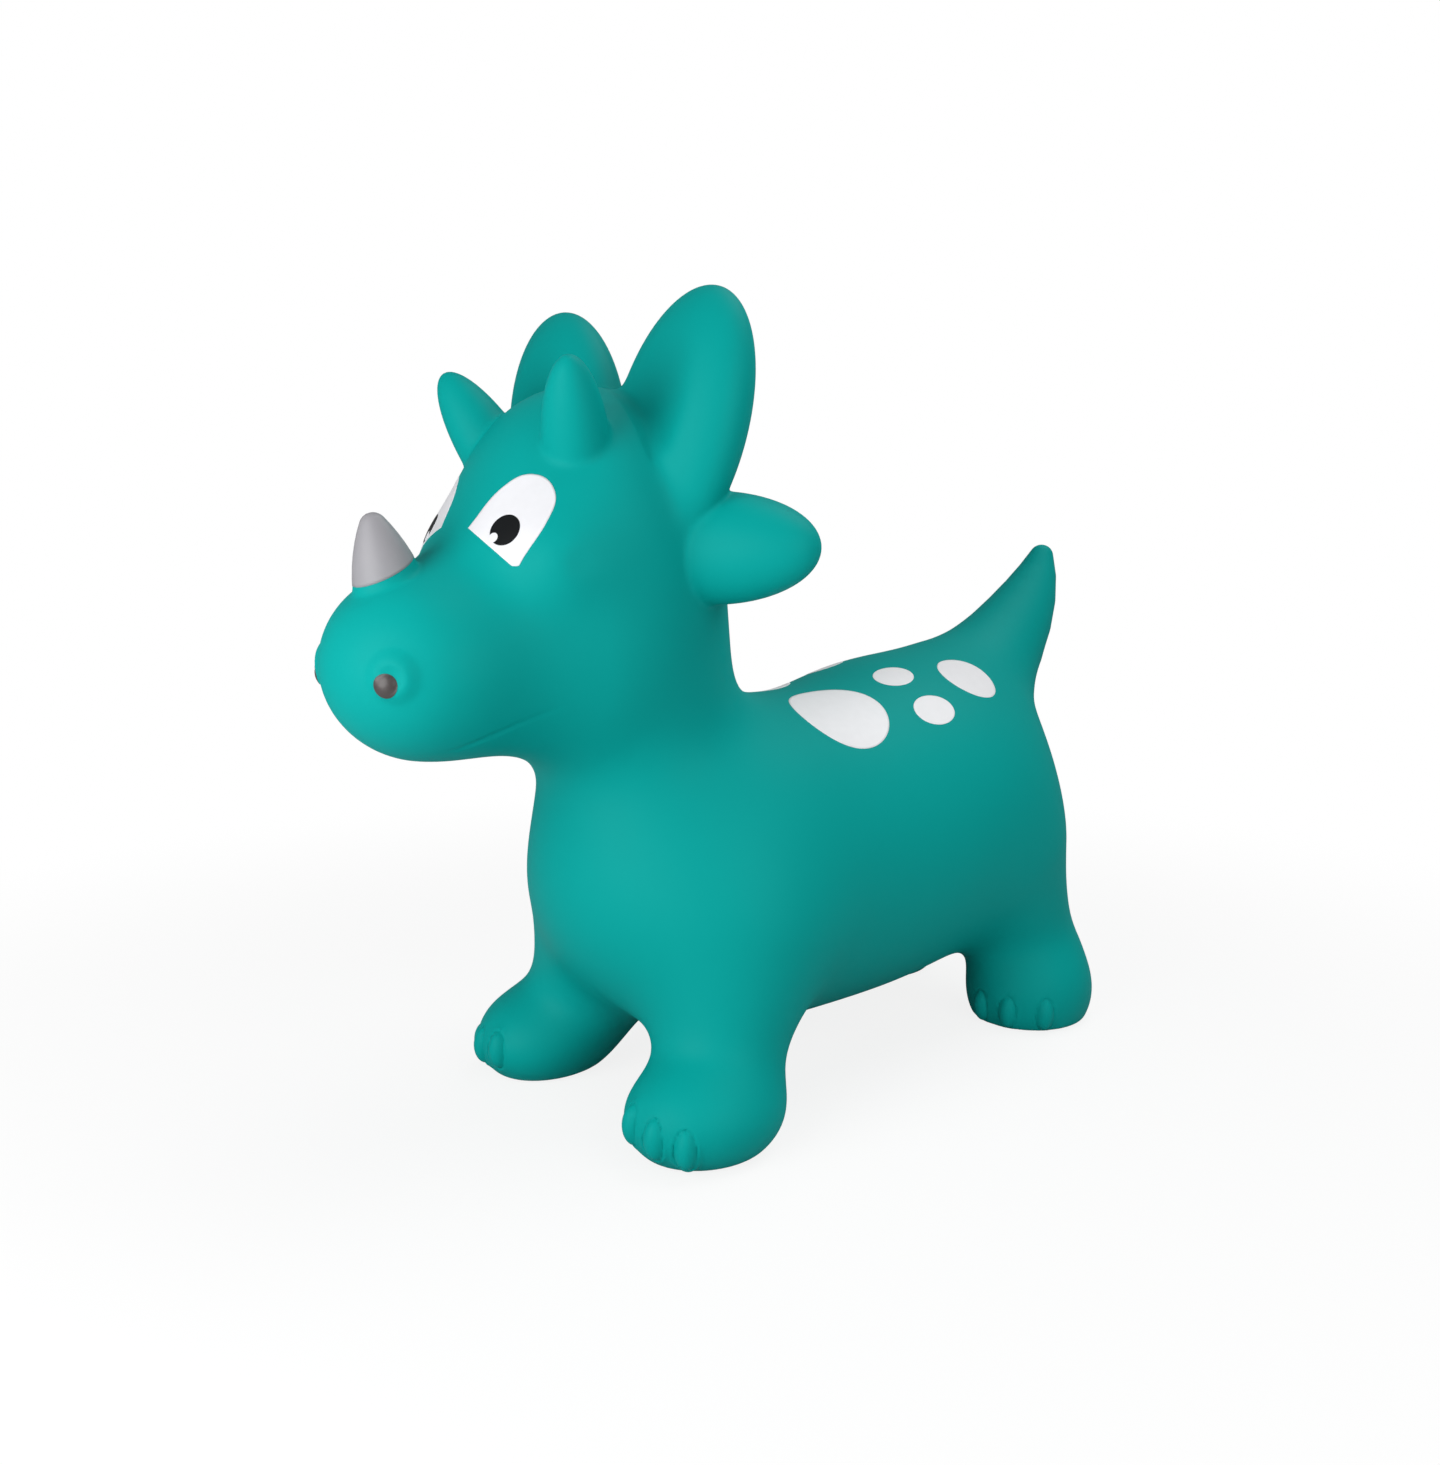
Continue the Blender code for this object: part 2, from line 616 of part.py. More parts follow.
def make_eyes():
    """White of each eye, with the pupil let into it and a glint bitten out of the pupil."""
    frame = placed(on_skin(EYE_AT + EYE_FACES, -EYE_FACES), EYE_FACES, UP.cross(EYE_FACES))
    glint_frame = frame @ Matrix.Translation((*GLINT_AT, 0.0))
    pupil_frame = frame @ Matrix.Translation((*PUPIL_AT, 0.0))
    glint = cylinder("glint", GLINT_R, -2.0 * PRINT_DEPTH, 2.0 * PRINT_DEPTH, glint_frame)
    pupil = cylinder("pupil", PUPIL_R, -PRINT_DEPTH, PRINT_DEPTH, pupil_frame)
    boolean(pupil, "DIFFERENCE", glint)
    core = cylinder("glint_core", GLINT_R - CLEAR, -2.0 * PRINT_DEPTH, 2.0 * PRINT_DEPTH, glint_frame)
    opening = cylinder("pupil_opening", PUPIL_R + CLEAR, -2.0 * PRINT_DEPTH, 2.0 * PRINT_DEPTH,
                       pupil_frame)
    boolean(opening, "DIFFERENCE", core)
    eye = add_cutter("eye", prism("eye", EYE_OUTLINE, frame))
    boolean(eye, "DIFFERENCE", opening)
    for name, mesh in on_both_sides("eye_white", plain_mesh(eye, "eye_white_left")):
        printed(name, mesh, print_white)
    for name, mesh in on_both_sides("pupil", plain_mesh(pupil, "pupil_left")):
        printed(name, mesh, print_black)


def make_spots():
    """Four round spots on each side of the back."""
    quarters = [pi / 2.0 * quarter for quarter in range(4)]
    for spot, back, angle, half_along, half_across in SPOTS:
        outward = Vector((sin(angle), 0.0, cos(angle)))
        frame = placed(on_skin(RUMP_AT + REAR * back + outward, -outward), outward, REAR)
        outline = [(half_along * cos(turn), half_across * sin(turn), "AUTO") for turn in quarters]
        for name, mesh in on_both_sides(spot, prism(spot, outline, frame)):
            printed(name, mesh, print_white)


def make_horn_and_nostril_coats():
    """Grey coat on the nose horn down to its root, and a dark dot on each nostril's ball."""
    axis = (NOSE_HORN_TIP_AT - NOSE_HORN_AT).normalized()
    edge = placed(NOSE_HORN_AT + axis * NOSE_COAT_RISE, NOSE_COAT_FACES, ACROSS)
    sleeve = cylinder("horn_sleeve", NOSE_HORN_R + NOSE_HORN_BLEND, 0.0, HEIGHT, edge)
    printed("nose_horn_coat", plain_mesh(sleeve, "nose_horn_coat"), print_grey)
    outward = NOSTRIL_TURN.col[2]
    dot = cylinder("nostril_dot", NOSTRIL_DOT_R, -PRINT_DEPTH / 2.0, PRINT_DEPTH / 2.0,
                   placed(BALL_AT, outward, UP.cross(outward)))
    for name, mesh in on_both_sides("nostril_coat", plain_mesh(dot, "nostril_coat_left")):
        printed(name, mesh, print_dark)


for leftover in list(bpy.data.objects):
    bpy.data.objects.remove(leftover, do_unlink=True)
parts = bpy.data.collections.new(OBJECT_NAME)
cutters = bpy.data.collections.new("cutters")
for group in (parts, cutters):
    bpy.context.scene.collection.children.link(group)

teal = material("teal_vinyl", (0.006, 0.33, 0.29), 0.5)
white = material("white_plastic", (0.80, 0.80, 0.78), 0.4)
print_white = material("white_print", (0.83, 0.83, 0.86), 0.5)
print_black = material("black_print", (0.015, 0.016, 0.018), 0.45)
print_grey = material("grey_print", (0.36, 0.36, 0.39), 0.5)
print_dark = material("dark_print", (0.09, 0.075, 0.075), 0.5)

outside_mesh = form_mesh("outside", 0.0, SKIN_VOXEL, SKIN_FACES)
outside = add_cutter("outside", outside_mesh)
bpy.context.view_layer.update()
skin_tree = BVHTree.FromObject(outside, bpy.context.evaluated_depsgraph_get())
over_print = grown(outside_mesh, "over_print", CLEAR + COAT)
under_print = grown(outside_mesh, "under_print", CLEAR)

belly = on_skin(BELLY_AT - UP * HEIGHT, UP)
valve_pad = belly + UP * VALVE_PAD_DEPTH
make_skin(outside_mesh.copy(), valve_pad)
make_valve(valve_pad)
make_eyes()
make_spots()
make_horn_and_nostril_coats()
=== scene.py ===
"""Dresses an inflatable ride-on animal: fine vinyl skin, printed coats, belly valve and a studio.

Metres, +Z up, the face towards -Y and the animal's own left at +X. The skin follows one rule: rounded
forms are blended into each other, Geometry Nodes work out how far each point is from the blend, and its
surface is meshed. The prints are laid on that same surface, so both always agree.
"""
from functools import partial
from math import cos, pi, radians, sin
from types import SimpleNamespace

import bmesh
import bpy
from bpy.props import FloatProperty, FloatVectorProperty, IntProperty, PointerProperty
from mathutils import Matrix, Vector


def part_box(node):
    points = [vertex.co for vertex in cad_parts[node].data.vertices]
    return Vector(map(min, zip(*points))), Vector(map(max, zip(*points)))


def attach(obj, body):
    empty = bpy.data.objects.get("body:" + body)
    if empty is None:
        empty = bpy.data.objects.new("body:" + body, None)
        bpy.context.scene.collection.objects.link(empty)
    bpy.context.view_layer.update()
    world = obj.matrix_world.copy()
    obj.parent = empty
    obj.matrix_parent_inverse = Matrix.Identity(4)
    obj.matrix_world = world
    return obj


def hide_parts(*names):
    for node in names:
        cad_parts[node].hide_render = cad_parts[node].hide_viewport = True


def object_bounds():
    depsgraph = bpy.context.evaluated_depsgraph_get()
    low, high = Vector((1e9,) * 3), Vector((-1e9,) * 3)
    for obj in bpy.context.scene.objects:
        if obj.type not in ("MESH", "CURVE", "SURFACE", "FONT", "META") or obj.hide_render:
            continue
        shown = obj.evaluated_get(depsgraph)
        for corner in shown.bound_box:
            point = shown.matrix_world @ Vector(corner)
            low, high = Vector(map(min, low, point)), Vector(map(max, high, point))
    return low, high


bl_info = {
    "name": "Animal Hopper",
    "version": (1, 0, 0),
    "blender": (4, 5, 0),
    "location": "3D View > Sidebar > Hopper",
    "description": "Dresses an inflatable ride-on animal with its skin, prints and valve",
    "category": "Object",
}

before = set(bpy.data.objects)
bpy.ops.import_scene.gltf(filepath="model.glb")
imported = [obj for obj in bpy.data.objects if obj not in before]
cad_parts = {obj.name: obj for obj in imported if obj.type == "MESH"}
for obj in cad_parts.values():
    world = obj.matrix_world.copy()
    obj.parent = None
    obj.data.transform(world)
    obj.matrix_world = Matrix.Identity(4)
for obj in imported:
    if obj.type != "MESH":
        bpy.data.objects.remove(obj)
CAD_LOW, CAD_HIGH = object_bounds()
SEAT_LOW, SEAT_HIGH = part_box("valve_seat")
PLUG_LOW, PLUG_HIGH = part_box("valve_plug")

TOY = "toy"
STOPPER = "stopper"
TINY = 1e-6
UP = Vector((0.0, 0.0, 1.0))
ACROSS = Vector((1.0, 0.0, 0.0))
REAR = Vector((0.0, 1.0, 0.0))
WHITE = (1.0, 1.0, 1.0, 1.0)
VALVE_AT = ((SEAT_LOW + SEAT_HIGH) / 2.0).xy.to_3d()

# How often the points of the rough skin, the split skin and a print are moved onto the form
ROUGH_ROUNDS = 2
FINE_ROUNDS = 3
PRINT_ROUNDS = 6
# Cells of the grid left free round the skin, and the least angle between faces at a sharp edge
MARGIN_CELLS = 4
SHARP_ANGLE = radians(50.0)
# Steps of a bent form, a print's outline between two points, a turned piece and a rounded edge
BEND_STEPS = 6
CURVE_STEPS = 32
TURN_STEPS = 64
EDGE_STEPS = 3
# Sharp corners, which come first in an eye's outline
EYE_CORNERS = 3
# Sockets of a Mix node that hold colours
MIX_FIRST = 6
MIX_SECOND = 7
MIX_RESULT = 2


def number(name, description, default, **kind):
    return FloatProperty(name=name, description=description, default=default, **kind)


length = partial(number, unit="LENGTH")
watts = partial(number, unit="POWER")
share = partial(number, subtype="FACTOR")


def angle(name, description, degrees):
    return number(name, description, radians(degrees), subtype="ANGLE")


def tilt_of(name, degrees):
    return angle(name + " Spot Tilt", "Angle of the " + name.lower() + " spot off the top", degrees)


def radius_of(name, default):
    return length(name + " Radius", "Radius of the " + name.lower(), default)


def blend(name, default):
    """Property for how widely a form is blended into what it grows from."""
    return length(name + " Blend", "Reach of the blend round the " + name.lower(), default)


def count(name, description, default, least):
    return IntProperty(name=name, description=description, default=default, min=least)


def numbers(name, description, default, **kind):
    """Property of two or three numbers."""
    return FloatVectorProperty(name=name, description=description, default=default,
                               size=len(default), **kind)


lengths = partial(numbers, unit="LENGTH")


def spot_of(name, default):
    return lengths(name + " Spot", "Place behind the rump's middle, and two half lengths", default)


def place(name, default):
    """Property for a place. What the animal has on both sides is placed on its left."""
    return lengths(name + " Place", "Centre of the " + name.lower(), default, subtype="TRANSLATION")


def halves(name, default):
    return lengths(name + " Half", "Half lengths of the " + name.lower(), default, subtype="XYZ")


def lean(name, default):
    return numbers(name + " Lean", "Direction of the " + name.lower(), default, subtype="DIRECTION")


def angles(name, degrees):
    return numbers(name, "Angles off straight ahead", [radians(turn) for turn in degrees], subtype="EULER")


def colour(name, default):
    return numbers(name, "Colour of the " + name.lower(), default, subtype="COLOR", min=0.0, max=1.0)


class TorsoSizes(bpy.types.PropertyGroup):
    chest_at: place("Chest", (0.0, -0.064, 0.1485))
    chest_half: halves("Chest", (0.1025, 0.1065, 0.102))
    belly_at: place("Belly", (0.0, 0.041, 0.138))
    belly_half: halves("Belly", (0.102, 0.152, 0.1045))
    rump_at: place("Rump", (0.0, 0.136, 0.1615))
    rump_half: halves("Rump", (0.1085, 0.118, 0.104))
    torso_blend: blend("Torso", 0.08)
    neck_at: place("Neck", (0.0, -0.1045, 0.2135))
    neck_r: radius_of("Neck Root", 0.059)
    nape_at: place("Nape", (0.0, -0.1275, 0.34))
    nape_r: radius_of("Nape", 0.066)
    neck_blend: blend("Neck", 0.051)


class HeadSizes(bpy.types.PropertyGroup):
    cranium_at: place("Cranium", (0.0, -0.1495, 0.367))
    cranium_half: halves("Cranium", (0.075, 0.0643, 0.0733))
    cranium_blend: blend("Cranium", 0.047)
    face_at: place("Face", (0.0, -0.202, 0.3435))
    face_half: halves("Face", (0.0616, 0.0208, 0.0194))
    face_blend: blend("Face", 0.074)
    jaw_at: place("Jaw", (0.0, -0.159, 0.296))
    jaw_r: radius_of("Jaw Back", 0.0706)
    muzzle_at: place("Muzzle", (0.0, -0.2532, 0.288))
    muzzle_half: halves("Muzzle", (0.055, 0.0493, 0.0458))
    chin_r: radius_of("Chin", 0.0439)
    jaw_blend: blend("Jaw", 0.0447)
    head_blend: blend("Head", 0.05)
    nostril_at: place("Nostril", (0.0396, -0.2927, 0.2874))
    nostril_lean: lean("Nostril", (0.66, -0.75, -0.05))
    mound_half: halves("Nostril Mound", (0.0142, 0.0142, 0.0085))
    mound_proud: length("Mound Height", "Height of the mound over the muzzle", 0.0036)
    mound_blend: blend("Nostril Mound", 0.0035)
    dish_r: radius_of("Nostril Dish", 0.015)
    dish_depth: length("Dish Depth", "Depth of the hollow under the mound's top", 0.0028)
    dish_blend: blend("Dish", 0.003)
    ball_at: place("Nostril Ball", (0.0372, -0.2948, 0.2836))
    ball_r: radius_of("Nostril Ball", 0.0095)
    ball_proud: length("Ball Height", "Height of the ball over the muzzle", 0.0032)
    ball_blend: blend("Nostril Ball", 0.001)


class HornSizes(bpy.types.PropertyGroup):
    brow_horn_at: place("Brow Horn", (0.0385, -0.177, 0.3964))
    brow_horn_lean: lean("Brow Horn", (0.47, -0.43, 1.0))
    brow_horn_half: halves("Brow Horn", (0.0192, 0.0192, 0.0618))
    brow_horn_blend: blend("Brow Horn", 0.005)
    nose_horn_at: place("Nose Horn", (0.0, -0.2716, 0.3291))
    nose_horn_r: radius_of("Nose Horn Root", 0.019)
    nose_bend_r: radius_of("Nose Horn Bend", 0.016)
    nose_tip_at: place("Nose Horn Tip", (0.0, -0.2796, 0.3619))
    nose_tip_r: radius_of("Nose Horn Tip", 0.0072)
    nose_horn_blend: blend("Nose Horn", 0.004)
    frill_at: place("Frill Lobe", (0.0535, -0.1196, 0.4132))
    frill_lean: lean("Frill Lobe", (0.325, 0.14, 1.0))
    frill_half: halves("Frill Lobe", (0.0485, 0.028, 0.0815))
    frill_blend: blend("Frill Lobe", 0.014)
    hollow_half: halves("Frill Hollow", (0.044, 0.01, 0.065))
    hollow_depth: length("Frill Hollow Depth", "Depth of the hollow in the front of a frill lobe", 0.009)
    hollow_in: length("Frill Hollow Inward", "How far the hollow lies inward of the middle", 0.012)
    hollow_up: length("Frill Hollow Upward", "How far the hollow lies above the middle", 0.015)
    hollow_blend: blend("Frill Hollow", 0.008)
    ear_at: place("Side Lobe", (0.0658, -0.106, 0.349))
    ear_lean: lean("Side Lobe", (1.0, 0.3, 0.02))
    ear_half: halves("Side Lobe", (0.032, 0.03, 0.0695))
    ear_blend: blend("Side Lobe", 0.0055)


class LegSizes(bpy.types.PropertyGroup):
    front_hip_at: place("Front Hip", (0.058, -0.0795, 0.1195))
    front_hip_r: radius_of("Front Hip", 0.0505)
    front_ankle_at: place("Front Ankle", (0.07, -0.1015, 0.048))
    front_ankle_r: radius_of("Front Ankle", 0.0365)
    front_foot_at: place("Front Foot", (0.0825, -0.125, 0.0225))
    front_foot_half: halves("Front Foot", (0.042, 0.049, 0.033))
    hind_hip_at: place("Hind Hip", (0.053, 0.1725, 0.123))
    hind_hip_r: radius_of("Hind Hip", 0.0495)
    hind_ankle_at: place("Hind Ankle", (0.068, 0.2075, 0.05))
    hind_ankle_r: radius_of("Hind Ankle", 0.033)
    hind_foot_at: place("Hind Foot", (0.075, 0.1985, 0.0195))
    hind_foot_half: halves("Hind Foot", (0.044, 0.047, 0.043))
    foot_turn: angle("Foot Turn", "Turn of the feet about the upright", -9.0)
    foot_blend: blend("Foot", 0.031)
    leg_blend: blend("Leg", 0.054)
    sole_blend: blend("Sole", 0.004)
    front_toes: angles("Front Toes", (-13.0, 11.0, 35.0))
    front_toe_heights: lengths("Front Toe Heights", "Heights, inner toe first", (0.0235, 0.0212, 0.0178))
    hind_toes: angles("Hind Toes", (-11.0, 17.0, 52.0))
    hind_toe_heights: lengths("Hind Toe Heights", "Heights, inner toe first", (0.014, 0.014, 0.014))
    toe_half: halves("Toe", (0.01, 0.012, 0.015))
    toe_proud: length("Toe Reach", "How far a toe stands out of the foot", 0.0033)
    toe_blend: blend("Toe", 0.003)
    nail_half: halves("Nail", (0.0072, 0.0085, 0.0125))
    nail_proud: length("Nail Reach", "How far a nail stands out of the foot", 0.0038)
    nail_blend: blend("Nail", 0.001)
    nail_groove: length("Nail Groove", "Half the width of the groove round a nail", 0.0019)
    nail_groove_depth: length("Nail Groove Depth", "Depth of the groove round a nail", 0.0018)


class TailSizes(bpy.types.PropertyGroup):
    tail_root_at: place("Tail Root", (0.0, 0.2015, 0.2295))
    tail_root_r: radius_of("Tail Root", 0.042)
    tail_bend_at: place("Tail Bend", (0.0, 0.284, 0.285))
    tail_bend_r: radius_of("Tail Bend", 0.03)
    tail_tip_at: place("Tail Tip", (0.0, 0.298, 0.334))
    tail_tip_r: radius_of("Tail Tip", 0.0093)
    tail_blend: blend("Tail", 0.072)


class MouthSizes(bpy.types.PropertyGroup):
    mouth_front_at: place("Mouth Front", (0.0314, -0.265, 0.2405))
    mouth_bend_at: place("Mouth Bend", (0.044, -0.24, 0.252))
    mouth_corner_at: place("Mouth Corner", (0.0552, -0.2055, 0.264))
    mouth_r: radius_of("Mouth Crease", 0.0012)
    mouth_end_r: radius_of("Mouth Crease End", 0.0004)
    mouth_width: length("Mouth Width", "Half the width of the crease's soft edge", 0.003)
    mouth_depth: length("Mouth Depth", "Depth of the mouth's crease", 0.0011)


class PrintSizes(bpy.types.PropertyGroup):
    eye_at: place("Eye", (0.0398, -0.2162, 0.3685))
    eye_lean: lean("Eye", (0.349, -0.799, 0.49))
    eye_outline: FloatVectorProperty(
        name="Eye Outline", description="Points round an eye's white, across and up from its middle",
        default=((-0.0297, -0.0088), (0.0044, -0.0305), (0.0082, -0.0301), (0.0185, -0.005),
                 (0.017, 0.015), (0.0025, 0.0228), (-0.0145, 0.015)), size=(7, 2), unit="LENGTH")
    pupil_at: lengths("Pupil Place", "Place across and up the eye", (-0.004, -0.0111))
    pupil_r: radius_of("Pupil", 0.009)
    glint_at: lengths("Glint Place", "Place across and up the eye", (-0.0098, -0.0158))
    glint_r: radius_of("Glint", 0.0028)
    large_spot: spot_of("Large", (-0.1146, 0.034, 0.034))
    large_tilt: tilt_of("Large", 30.5)
    small_spot: spot_of("Small", (-0.0483, 0.0148, 0.013))
    small_tilt: tilt_of("Small", 19.0)
    middle_spot: spot_of("Middle", (-0.0477, 0.0153, 0.013))
    middle_tilt: tilt_of("Middle", 42.2)
    rear_spot: spot_of("Rear", (0.0073, 0.0219, 0.0227))
    rear_tilt: tilt_of("Rear", 29.6)
    nose_coat_r: radius_of("Nose Coat Edge", 0.0178)
    nose_coat_height: length("Nose Coat Height", "Height of the coat's edge along the horn", 0.0107)
    nose_coat_lean: lean("Nose Coat", (0.0, -0.504, 0.864))
    dot_r: radius_of("Nostril Dot", 0.0063)
    coat: length("Coat", "Thickness of a printed coat", 0.0004)
    lift: length("Lift", "Height of a coat over the skin", 0.00015)
    steps: count("Outline Steps", "Points round a print", 120, 8)
    rings: count("Print Rings", "Rings from a print's middle to its edge", 24, 2)


class SkinMesh(bpy.types.PropertyGroup):
    voxel: length("Voxel", "Spacing of the grid that the skin is meshed on", 0.0026)
    splits: count("Splits", "How often the skin's faces are split in four", 1, 0)
    triangles: count("Triangles", "Triangles that the skin is thinned to", 190000, 1000)


class ValveSizes(bpy.types.PropertyGroup):
    pad_r: radius_of("Valve Recess", 0.016)
    flange: length("Flange", "Thickness of the bush's flange with its clearance", 0.0017)
    hole_r: radius_of("Belly Hole", 0.0073)
    bore_r: radius_of("Bush Bore", 0.0042)
    tube_r: radius_of("Bush Tube", 0.007)
    shank_r: radius_of("Stopper Shank", 0.0038)
    head: length("Head", "Thickness of the stopper's head", 0.0022)
    edge: length("Edge", "Width of a rounded edge", 0.0005)


class Finishes(bpy.types.PropertyGroup):
    vinyl: colour("Vinyl", (0.001, 0.337, 0.314))
    vinyl_deep: colour("Vinyl Clouds", (0.001, 0.308, 0.286))
    eye_ink: colour("Eye Whites", (0.8, 0.8, 0.83))
    spot_ink: colour("Spots", (0.9, 0.9, 0.92))
    black_ink: colour("Pupils", (0.007, 0.008, 0.009))
    grey_ink: colour("Nose Horn", (0.305, 0.3, 0.32))
    dark_ink: colour("Nostrils", (0.058, 0.048, 0.047))
    bush: colour("Valve", (0.8, 0.8, 0.77))


class StudioSizes(bpy.types.PropertyGroup):
    camera_at: place("Camera", (0.6541, -0.6101, 0.37))
    camera_azimuth: angle("Camera Azimuth", "Turn of the camera about the upright", 49.0)
    camera_pitch: angle("Camera Pitch", "How far the camera looks down", 9.3)
    camera_lens: number("Lens", "Focal length in millimetres", 33.875)
    floor_span: length("Floor Span", "Side of the floor", 12.0)
    floor_gap: length("Floor Gap", "Gap between the soles and the floor", 0.0002)
    floor_white: share("Floor White", "Share of plain white in the floor that is seen", 0.85)
    floor_tone: share("Floor Tone", "Grey of the floor under the plain white", 0.86)
    floor_bounce: share("Floor Bounce", "Grey of the floor in the light that it throws back", 0.5)
    floor_near: length("Floor Near", "Distance where the floor starts to whiten", 0.3)
    floor_far: length("Floor Far", "Distance where the floor is plain white", 0.95)
    sky: share("Sky", "Level of the light from all round", 0.21)
    key_at: place("Key Lamp", (0.12, -0.86, 0.39))
    key_power: watts("Key Power", "Power of the lamp ahead", 5.5)
    key_span: length("Key Span", "Width of the lamp ahead", 0.7)
    side_at: place("Side Lamp", (0.85, -0.14, 0.46))
    side_power: watts("Side Power", "Power of the lamp at the side", 2.5)
    side_span: length("Side Span", "Width of the lamp at the side", 0.7)
    top_at: place("Top Lamp", (0.24, 0.8, 1.98))
    top_power: watts("Top Power", "Power of the lamp high behind", 20.5)
    top_span: length("Top Span", "Width of the lamp high behind", 1.6)


class HopperSettings(bpy.types.PropertyGroup):
    torso: PointerProperty(type=TorsoSizes)
    head: PointerProperty(type=HeadSizes)
    horns: PointerProperty(type=HornSizes)
    legs: PointerProperty(type=LegSizes)
    tail: PointerProperty(type=TailSizes)
    mouth: PointerProperty(type=MouthSizes)
    prints: PointerProperty(type=PrintSizes)
    mesh: PointerProperty(type=SkinMesh)
    valve: PointerProperty(type=ValveSizes)
    finishes: PointerProperty(type=Finishes)
    studio: PointerProperty(type=StudioSizes)


FORM_GROUPS = ("torso", "head", "horns", "legs", "tail", "mouth")


def both_ways(operation):
    """Operators of a value: one with a number on its right, one with a number on its left."""
    def right(self, other):
        return self.math(operation, other)

    def left(self, other):
        return self.math_of(operation, other, self)

    return right, left


class Value:
    """A node's output. Python maths on it adds Math nodes to its tree."""

    __add__, __radd__ = both_ways("ADD")
    __sub__, __rsub__ = both_ways("SUBTRACT")
    __mul__, __rmul__ = both_ways("MULTIPLY")
    __truediv__, __rtruediv__ = both_ways("DIVIDE")
    NUMBERS = ("LENGTH", "DISTANCE", "DOT_PRODUCT")

    def __init__(self, socket):
        self.socket = socket
        self.tree = socket.id_data

    @staticmethod
    def fill(node, sockets):
        """Links each named socket of a node to a value, or sets it to something plain."""
        for name, value in sockets.items():
            if isinstance(value, Value):
                value.tree.links.new(value.socket, node.inputs[name])
            else:
                node.inputs[name].default_value = value

    @staticmethod
    def node(tree, kind, settings=None, sockets=None, output=0):
        """Any node: its settings go in first, then what its sockets hold or are linked to."""
        made = tree.nodes.new(kind)
        for name, setting in (settings or {}).items():
            setattr(made, name, setting)
        Value.fill(made, sockets or {})
        return Value(made.outputs[output])

    def math(self, operation, *others):
        return self.math_of(operation, self, *others)

    def math_of(self, operation, *inputs):
        return self.node(self.tree, "ShaderNodeMath", {"operation": operation}, dict(enumerate(inputs)))

    def vector(self, operation, *others):
        output = "Value" if operation in self.NUMBERS else "Vector"
        return self.node(self.tree, "ShaderNodeVectorMath", {"operation": operation},
                         dict(enumerate((self, *others))), output)

    def root(self):
        return self.math("MAXIMUM", 0.0).math("SQRT")

    def joined(self, other, reach):
        """Smooth union of two forms."""
        return self.math("SMOOTH_MIN", other, reach)

    def carved(self, other, reach):
        """What is left of a form when another is taken out of it."""
        return self.math("SMOOTH_MAX", 0.0 - other, reach)

    def engraved(self, line, width, depth):
        """Form with a soft groove where a line's distance is near zero."""
        near = (1.0 - line.math("ABSOLUTE") / width).math("MAXIMUM", 0.0)
        return self + near * near * depth


def together(x, y, z):
    """Vector value from three numbers, of which the first is a value."""
    return Value.node(x.tree, "ShaderNodeCombineXYZ", sockets={0: x, 1: y, 2: z})


def apart(vector):
    """Three number values of a vector."""
    first = Value.node(vector.tree, "ShaderNodeSeparateXYZ", sockets={0: vector})
    return [Value(socket) for socket in first.socket.node.outputs]


def ball(point, centre, radius):
    return point.vector("DISTANCE", centre) - radius


def egg(point, centre, half, axes=None):
    """Distance from an ellipsoid whose half lengths lie along three axes."""
    local = point.vector("SUBTRACT", centre)
    if axes:
        local = together(*(local.vector("DOT_PRODUCT", axis) for axis in axes))
    near = local.vector("DIVIDE", half).vector("LENGTH").math("MAXIMUM", TINY)
    steep = local.vector("DIVIDE", half).vector("DIVIDE", half).vector("LENGTH")
    return near * (near - 1.0) / steep.math("MAXIMUM", TINY)


def round_cone(point, start, start_r, end, end_r):
    """Distance from two balls and the straight cone that wraps them."""
    axis = end.vector("SUBTRACT", start)
    run = axis.vector("LENGTH")
    narrowing = start_r - end_r
    slope = narrowing / (run * run - narrowing * narrowing).root()
    away = point.vector("SUBTRACT", start)
    along = away.vector("DOT_PRODUCT", axis.vector("NORMALIZE"))
    off = (away.vector("DOT_PRODUCT", away) - along * along).root()
    part = ((along - off * slope) / run).math("MAXIMUM", 0.0).math("MINIMUM", 1.0)
    past = along - part * run
    return (past * past + off * off).root() + part * narrowing - start_r


def leaning(along, across):
    """Three axes, the third along one direction and the first close to another."""
    third = along.vector("NORMALIZE")
    shadow = third.vector("MULTIPLY", third.vector("DOT_PRODUCT", across) * -1.0)
    first = shadow.vector("ADD", across).vector("NORMALIZE")
    return first, third.vector("CROSS_PRODUCT", first), third


def turned_axes(turn):
    """Three axes turned about the upright."""
    ahead, aside = turn.math("COSINE"), turn.math("SINE")
    return together(ahead, aside, 0.0), together(aside * -1.0, ahead, 0.0), UP


def on_curve(start, bend, end, part):
    """Point, or size, a part of the way along a curve bent towards a third."""
    weights = ((1.0 - part) ** 2, 2.0 * part * (1.0 - part), part ** 2)
    first, second, third = (value.vector("MULTIPLY", [weight] * 3)
                            for value, weight in zip((start, bend, end), weights))
    return first.vector("ADD", second).vector("ADD", third)


def moved(centre, axis, distance):
    """Point moved along an axis."""
    return centre.vector("ADD", axis.vector("MULTIPLY", distance))


def torso_form(point, size):
    """Chest, belly, rump and neck."""
    form = egg(point, size.chest_at, size.chest_half)
    form = form.joined(egg(point, size.belly_at, size.belly_half), size.torso_blend)
    form = form.joined(egg(point, size.rump_at, size.rump_half), size.torso_blend)
    neck = round_cone(point, size.neck_at, size.neck_r, size.nape_at, size.nape_r)
    return form.joined(neck, size.neck_blend)


